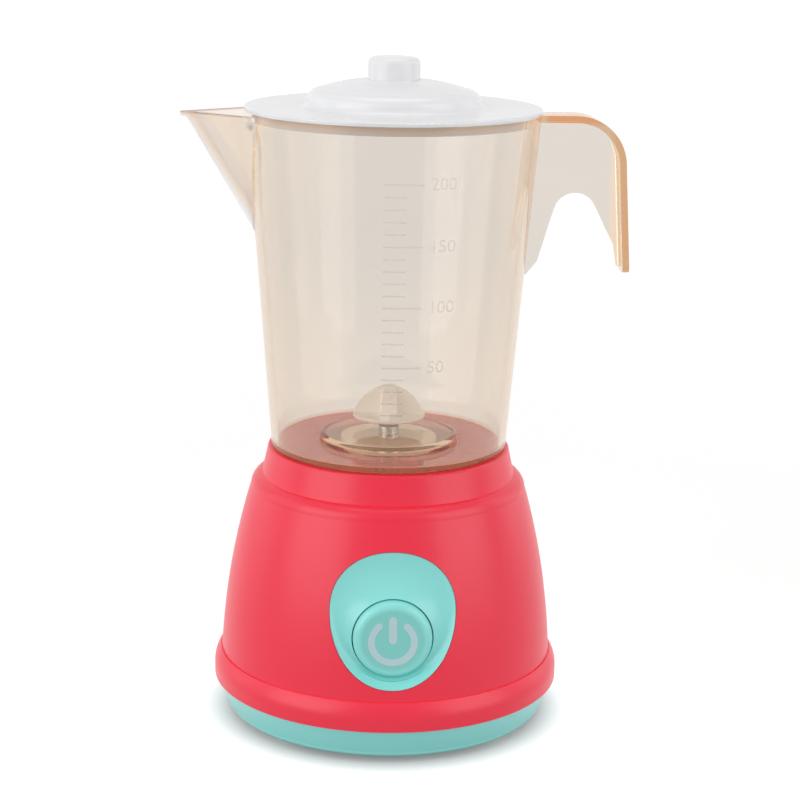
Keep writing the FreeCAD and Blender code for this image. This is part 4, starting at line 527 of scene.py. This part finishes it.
# %% Tint by place
WALL_TINT, LOW_WALL_EDGE = (0.872, 0.900, 0.942), (0.150, 0.100)
AMBER_DEPTH, AMBER_DENSITY = (0.75, 0.45, 0.067, 1.0), 120.0
tinted = layered(
    tree, WALL_TINT,
    ((0.925, 0.94, 0.965), beyond(tree, up_z, *LOW_WALL_EDGE)),
    ((1.0, 1.0, 1.0), math_node(tree, "MAXIMUM", inner_floor, outer_floor)),
    ((0.765, 0.755, 0.75), on_web),
    ((0.97, 0.88, 0.82), near_rim),
    ((0.89, 0.76, 0.65), on_strip),
    ((0.93, 0.65, 0.48), on_top))
tree.links.new(tinted, clear.inputs["Colour"])
shader.inputs["Transmission Weight"].default_value = 1.0
shader.inputs["IOR"].default_value = 1.46
depth_tint = tree.nodes.new("ShaderNodeVolumeAbsorption")
depth_tint.inputs["Color"].default_value = AMBER_DEPTH
depth_tint.inputs["Density"].default_value = AMBER_DENSITY
print("clear plastic tints by depth, density", AMBER_DENSITY)

# %% [markdown]
# Light that only falls through the jug onto something else is let through straight, so the
# pieces inside are lit evenly. The same is done for light that has met four surfaces: caught in
# a wall it would run along inside it for ever, which would leave black edges that clear plastic
# does not have. In the spout, whose two thin walls meet in a sharp lower edge, most of the light
# goes straight through as well.
#
# Round the raised platform the floor is slightly milky, from fine scratches and the texture on
# its underside. There a share of the light is scattered, pale over the deck. At the rounded foot
# the haze is painted orange: a painted reflection of the deck's red, gathered by the rounded
# edge.

# %% Straight light and haze
SPOUT_SHARE, HAZE_SHARE, MANY_WALLS = 0.92, 0.19, 3.5
FOOT_EDGE = (0.0328, 0.0336)
straight = tree.nodes.new("ShaderNodeBsdfTransparent")
tree.links.new(layered(tree, (0.995, 0.99, 0.985), ((0.984, 0.988, 0.998), on_spout),
                       ((0.950, 0.960, 0.990), on_keel), ((0.72, 0.62, 0.63), on_lip)),
               straight.inputs["Color"])
milky = tree.nodes.new("ShaderNodeBsdfDiffuse")
# painted reflection: the deck's red gathered by the rounded foot, painted orange into the haze
foot_painted_orange = beyond_distance(tree, from_axis_2, *FOOT_EDGE)
tree.links.new(layered(tree, (0.97, 0.94, 0.91), ((0.92, 0.50, 0.26), foot_painted_orange)),
               milky.inputs["Color"])
walls_met = tree.nodes.new("ShaderNodeLightPath").outputs["Ray Depth"]
let_through = math_node(tree, "MAXIMUM", is_ray(tree, "Is Shadow Ray", "Is Diffuse Ray"),
                        math_node(tree, "GREATER_THAN", walls_met, MANY_WALLS))
share = let_through
for mask, part in ((on_spout, SPOUT_SHARE), (outer_floor, HAZE_SHARE)):
    share = math_node(tree, "MAXIMUM", share, math_node(tree, "MULTIPLY", mask, part))
scattered = both(tree, outer_floor, math_node(tree, "SUBTRACT", 1.0, let_through))
not_clear = mix_shaders(tree, scattered, straight.outputs[0], milky.outputs[0])
output = tree.nodes["Material Output"]
tree.links.new(mix_shaders(tree, share, shader.outputs[0], not_clear), output.inputs["Surface"])
tree.links.new(depth_tint.outputs[0], output.inputs["Volume"])
print("the spout lets", SPOUT_SHARE, "straight through, and the floor scatters", HAZE_SHARE)

# %% [markdown]
# The button is the same mint plastic. Its face is painted darker inside a rim that keeps the
# full mint: painted shade on the face, which leaves the rim as a painted highlight ring.

# %% Button plastic
SHADED_FACE_MINT, SHADED_FACE_EDGE = (0.225, 0.655, 0.61), (0.0100, 0.0086)
button_mint = moulded("mint_button_plastic", MINT, gloss=0.21, drift=0.05)
tree = button_mint.node_tree
button_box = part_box("power_button")
from_centre = tree.nodes.new("ShaderNodeVectorMath")
from_centre.operation = "SUBTRACT"
from_centre.inputs[1].default_value = [(low + high) / 2 for low, high in zip(*button_box)]
tree.links.new(object_place(tree), from_centre.inputs[0])
sideways, _, upward = along_axes(tree, from_centre.outputs[0])
off_axis_2 = math_node(tree, "ADD", squared(tree, sideways), squared(tree, upward))
skin_node = next(node for node in tree.nodes if node.type == "GROUP")
# painted shade: the face inside the rim is darker, so the rim reads as a painted highlight
painted_darker = beyond_distance(tree, off_axis_2, *SHADED_FACE_EDGE)
tree.links.new(layered(tree, MINT, (SHADED_FACE_MINT, painted_darker)), skin_node.inputs["Colour"])
print("button face is etched within", round(SHADED_FACE_EDGE[1] * 1000, 1), "mm of its middle")

# %% [markdown]
# Now every solid gets its finish. A table of names keeps that in one place.

# %% Finishes on the solids
FINISHES = {
    coral: ["base_housing"],
    mint: ["base_plate", "button_bezel", "battery_door"],
    button_mint: ["power_button"],
    amber: ["jug"],
    white: ["lid"],
    cream: ["rotor", "driven_disc"],
    undyed: ["drive_arm", "switch_plunger", "switch_bracket", "motor_end_cap"],
    black: ["push_switch"],
    steel: ["battery_door_screw", "base_screws", "motor_screws", "switch_screws",
            "motor_bracket", "motor_shaft", "rotor_shaft", "thrust_washer", "shaft_bush"],
    nickel: ["contact_positive", "contact_negative", "contact_bridge"],
    can_metal: ["motor_can"],
    jacket: ["cell_front", "cell_rear"],
    red_wire: ["lead_battery_switch"],
    yellow_wire: ["lead_switch_motor"],
    black_wire: ["lead_motor_battery"],
}
for finish, names in FINISHES.items():
    for name in names:
        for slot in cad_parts[name].material_slots:
            slot.material = finish
left = set(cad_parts) - {name for names in FINISHES.values() for name in names}
print("solids without a finish:", sorted(left))

# %% [markdown]
# ## Power sign on the button
# The ring and bar are printed on the button's face in pale ink. The ring is open at the top and
# its ends are round. It starts as a small plane, whose far edge is carried round the centre by
# Spin. Each open end is then rounded: the outer half of its edge is spun half a turn about the
# edge's middle, until it lies on the inner half.

# %% Ink
ink, tree, shader = plain_material("pale_ink")
use_group(tree, shader, skin,
          {"Colour": (0.49, 0.68, 0.715, 1.0), "Drift": 0.12, "Gloss": 0.3, "Rubbed": 0.15,
           "Ripple size": 900.0}, bump_height=0.000004)
print("ink for the button:", ink.name)


# %% Helpers in edit mode
def start_plane(name, wide, high, place):
    """A small upright plane that faces -Y, set down by a matrix, with its place applied."""
    deselect()
    bpy.ops.mesh.primitive_plane_add(size=1.0)
    piece = bpy.context.object
    piece.name = name
    piece.matrix_world = (place @ Matrix.Rotation(math.pi / 2, 4, "X")
                          @ Matrix.Diagonal((wide, high, 1.0, 1.0)))
    bpy.ops.object.transform_apply(location=True, rotation=True, scale=True)
    bpy.ops.object.mode_set(mode="EDIT")
    bpy.ops.mesh.select_all(action="SELECT")
    bpy.ops.mesh.subdivide(number_cuts=1)
    return piece


def select_edge(piece, test):
    """In edit mode, select the edges whose points pass a test, and give those points."""
    bpy.ops.object.mode_set(mode="OBJECT")
    chosen = [vertex for vertex in piece.data.vertices if test(vertex.co)]
    places = [vertex.co.copy() for vertex in chosen]
    for vertex in piece.data.vertices:
        vertex.select = vertex in chosen
    numbers = {vertex.index for vertex in chosen}
    for edge in piece.data.edges:
        edge.select = numbers.issuperset(edge.vertices)
    for face in piece.data.polygons:
        face.select = False
    bpy.ops.object.mode_set(mode="EDIT")
    bpy.ops.mesh.select_mode(type="EDGE")
    return places


def merge_and_leave(piece):
    """Merge the points that met, turn all faces the same way, and leave edit mode."""
    bpy.ops.mesh.select_all(action="SELECT")
    bpy.ops.mesh.remove_doubles(threshold=0.00001)
    bpy.ops.mesh.normals_make_consistent(inside=False)
    bpy.ops.object.mode_set(mode="OBJECT")
    print(piece.name, "has", len(piece.data.polygons), "faces")


# %% Open ring
RING_MIDDLE, STROKE, HALF_GAP = 0.00622, 0.00200, math.radians(40)
SIGN_LOWER, SLIVER, SLACK = 0.0004, 0.0001, 0.001
RING_STEPS, END_STEPS = 72, 12
button_low, button_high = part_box("power_button")
SIGN = Vector((0.0, button_low[1], (button_low[2] + button_high[2]) / 2 - SIGN_LOWER))


def turned(point):
    """How far round the sign a point lies, clockwise from the top."""
    return math.atan2(point.x - SIGN.x, point.z - SIGN.z)


sign_ring = start_plane("power_sign_ring", SLIVER, STROKE,
                        Matrix.Translation(SIGN) @ Matrix.Rotation(HALF_GAP, 4, "Y")
                        @ Matrix.Translation((0, 0, RING_MIDDLE)))
select_edge(sign_ring, lambda point: turned(point) > HALF_GAP + SLACK)
bpy.ops.mesh.spin(steps=RING_STEPS, angle=2 * HALF_GAP - 2 * math.pi, center=SIGN,
                  axis=(0, 1, 0))
for way in (1, -1):
    half = select_edge(sign_ring, lambda point: 0 < way * turned(point) < HALF_GAP - SLACK
                       and (point - SIGN).length > RING_MIDDLE - STROKE / 10)
    middle = min(half, key=lambda point: (point - SIGN).length)
    bpy.ops.mesh.spin(steps=END_STEPS, angle=way * math.pi, center=middle, axis=(0, 1, 0))
merge_and_leave(sign_ring)
opening = min(abs(turned(vertex.co)) for vertex in sign_ring.data.vertices)
print("the ring is open to", round(math.degrees(opening), 1), "degrees either side of the top")

# %% [markdown]
# The bar stands in the ring's opening. It is a plane whose two short ends are rounded in the
# same way.

# %% Bar
BAR_LONG, BAR_WIDE, BAR_UP = 0.0083, 0.0024, 0.0036
NEAR = 0.00001
bar_middle = SIGN + Vector((0, 0, BAR_UP))
sign_bar = start_plane("power_sign_bar", BAR_WIDE, BAR_LONG - BAR_WIDE,
                       Matrix.Translation(bar_middle))
for way in (1, -1):
    end = bar_middle + Vector((0, 0, way * (BAR_LONG - BAR_WIDE) / 2))
    select_edge(sign_bar, lambda point: abs(point.z - end.z) < NEAR and point.x > -NEAR)
    bpy.ops.mesh.spin(steps=END_STEPS, angle=way * math.pi, center=end, axis=(0, 1, 0))
merge_and_leave(sign_bar)
print("bar", round(sign_bar.dimensions.x * 1000, 2), "x", round(sign_bar.dimensions.z * 1000, 2))

# %% [markdown]
# Both get a body a few hundredths of a millimetre thick with a Solidify modifier, so that the
# ink stands on the face as a real print does, and both ride the button when it is pressed.


# %% Body of the sign
def thicken(piece, thick):
    """Give flat print a body that stands out toward -Y."""
    facing = sum(face.normal.y * face.area for face in piece.data.polygons)
    deselect()
    piece.select_set(True)
    bpy.context.view_layer.objects.active = piece
    shell = piece.modifiers.new("print_body", "SOLIDIFY")
    shell.thickness = thick
    shell.offset = -1.0 if facing > 0 else 1.0
    bpy.ops.object.modifier_apply(modifier=shell.name)


SIGN_THICK = 0.00006
for piece in (sign_ring, sign_bar):
    thicken(piece, SIGN_THICK)
    piece.data.materials.append(ink)
    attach(piece, "button")
    print(piece.name, "y from", round(min(v.co.y for v in piece.data.vertices), 5),
          "to", round(max(v.co.y for v in piece.data.vertices), 5))

# %% [markdown]
# ## Scale on the jug
# A measuring scale is printed on the jug's front: a short line every 10 and a long line with a
# number every 50. Each line starts as a small plane with a few cuts across, which is then
# pressed onto the conical wall with a Shrinkwrap modifier and given a thin body. One line is
# made and the others are copies, each with its own mesh, moved before they are pressed on. The
# ink is thin and worn, most at the top where hands hold the jug, so it lets the wall through.

# %% Ink on the jug
FOOT_OF_SCALE, TOP_OF_SCALE = 0.100, 0.172
INK_AT_FOOT, INK_AT_TOP = 0.12, 0.05
scale_ink, tree, shader = plain_material("faded_scale_ink")
use_group(tree, shader, skin,
          {"Colour": (0.36, 0.27, 0.44, 1.0), "Drift": 0.15, "Gloss": 0.35, "Rubbed": 0.15,
           "Ripple size": 900.0}, bump_height=0.000004)
fade = tree.nodes.new("ShaderNodeMapRange")
for socket, value in (("From Min", FOOT_OF_SCALE), ("From Max", TOP_OF_SCALE),
                      ("To Min", INK_AT_FOOT), ("To Max", INK_AT_TOP)):
    fade.inputs[socket].default_value = value
tree.links.new(along_axes(tree, object_place(tree))["Z"], fade.inputs["Value"])
tree.links.new(fade.outputs["Result"], shader.inputs["Alpha"])
print("the scale's ink hides", INK_AT_FOOT, "of the wall at the foot and", INK_AT_TOP,
      "at the top")

# %% Lines
LINE_COUNT, LINES_A_NUMBER = 20, 5
LINE_STEP, LOWEST_LINE, LINE_START = 0.003528, 0.1021, -0.0042
LINE_LONG, LINE_HIGH, BEFORE_WALL = 0.0064, 0.00045, -0.055
LONGER, THICKER = 1.78, 1.25
line = start_plane("scale_line", LINE_LONG, LINE_HIGH,
                   Matrix.Translation((LINE_START + LINE_LONG / 2, BEFORE_WALL, 0)))
bpy.ops.mesh.subdivide(number_cuts=3)
bpy.ops.object.mode_set(mode="OBJECT")
scale_lines = []
for count in range(LINE_COUNT):
    copy = line.copy()
    copy.data = line.data.copy()
    copy.name = "scale_line_%02d" % (count + 1)
    bpy.context.collection.objects.link(copy)
    numbered = (count + 1) % LINES_A_NUMBER == 0
    for vertex in copy.data.vertices:
        if numbered:
            vertex.co.x = LINE_START + (vertex.co.x - LINE_START) * LONGER
            vertex.co.z *= THICKER
        vertex.co.z += LOWEST_LINE + count * LINE_STEP
    scale_lines.append(copy)
bpy.data.objects.remove(line)
print(len(scale_lines), "lines from", LOWEST_LINE, "to",
      LOWEST_LINE + (LINE_COUNT - 1) * LINE_STEP)

# %% [markdown]
# The numbers are text, turned into a mesh before their place is applied, so that each is a plain
# piece with its place in its own points.

# %% Numbers
NUMBER_SIZE, NUMBER_START = 0.0050, 0.0088
numbers = []
for index, label in enumerate(("50", "100", "150", "200")):
    deselect()
    bpy.ops.object.text_add(location=(0, 0, 0), rotation=(math.pi / 2, 0, 0))
    number = bpy.context.object
    number.name = "scale_number_" + label
    number.data.body = label
    number.data.size = NUMBER_SIZE
    number.data.align_y = "CENTER"
    number.data.resolution_u = 4
    bpy.ops.object.convert(target="MESH")
    number = bpy.context.object
    its_line = LINES_A_NUMBER * (index + 1) - 1
    number.location = (NUMBER_START, BEFORE_WALL, LOWEST_LINE + its_line * LINE_STEP)
    bpy.ops.object.transform_apply(location=True, rotation=True, scale=True)
    numbers.append(number)
    print(label, "is", round(number.dimensions.x * 1000, 2), "x",
          round(number.dimensions.z * 1000, 2), "mm")

# %% [markdown]
# Lines and numbers are still flat and stand before the wall. Shrinkwrap carries each point along
# +Y until it meets the jug.


# %% Print them
def press_on(piece, target, stand_off):
    """Shrinkwrap a flat print along +Y onto a solid and apply it."""
    deselect()
    piece.select_set(True)
    bpy.context.view_layer.objects.active = piece
    wrap = piece.modifiers.new("press_on", "SHRINKWRAP")
    wrap.target = target
    wrap.wrap_method = "PROJECT"
    wrap.use_project_y = True
    wrap.use_positive_direction = True
    wrap.use_negative_direction = False
    wrap.offset = stand_off
    bpy.ops.object.modifier_apply(modifier=wrap.name)


OFF_WALL, SCALE_THICK = 0.00002, 0.00004
for piece in scale_lines + numbers:
    press_on(piece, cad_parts["jug"], OFF_WALL)
    thicken(piece, SCALE_THICK)
    piece.data.materials.clear()
    piece.data.materials.append(scale_ink)
    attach(piece, "jug")
printed_y = [vertex.co.y for piece in scale_lines for vertex in piece.data.vertices]
print("the lines lie between y", round(min(printed_y), 4), "and", round(max(printed_y), 4))
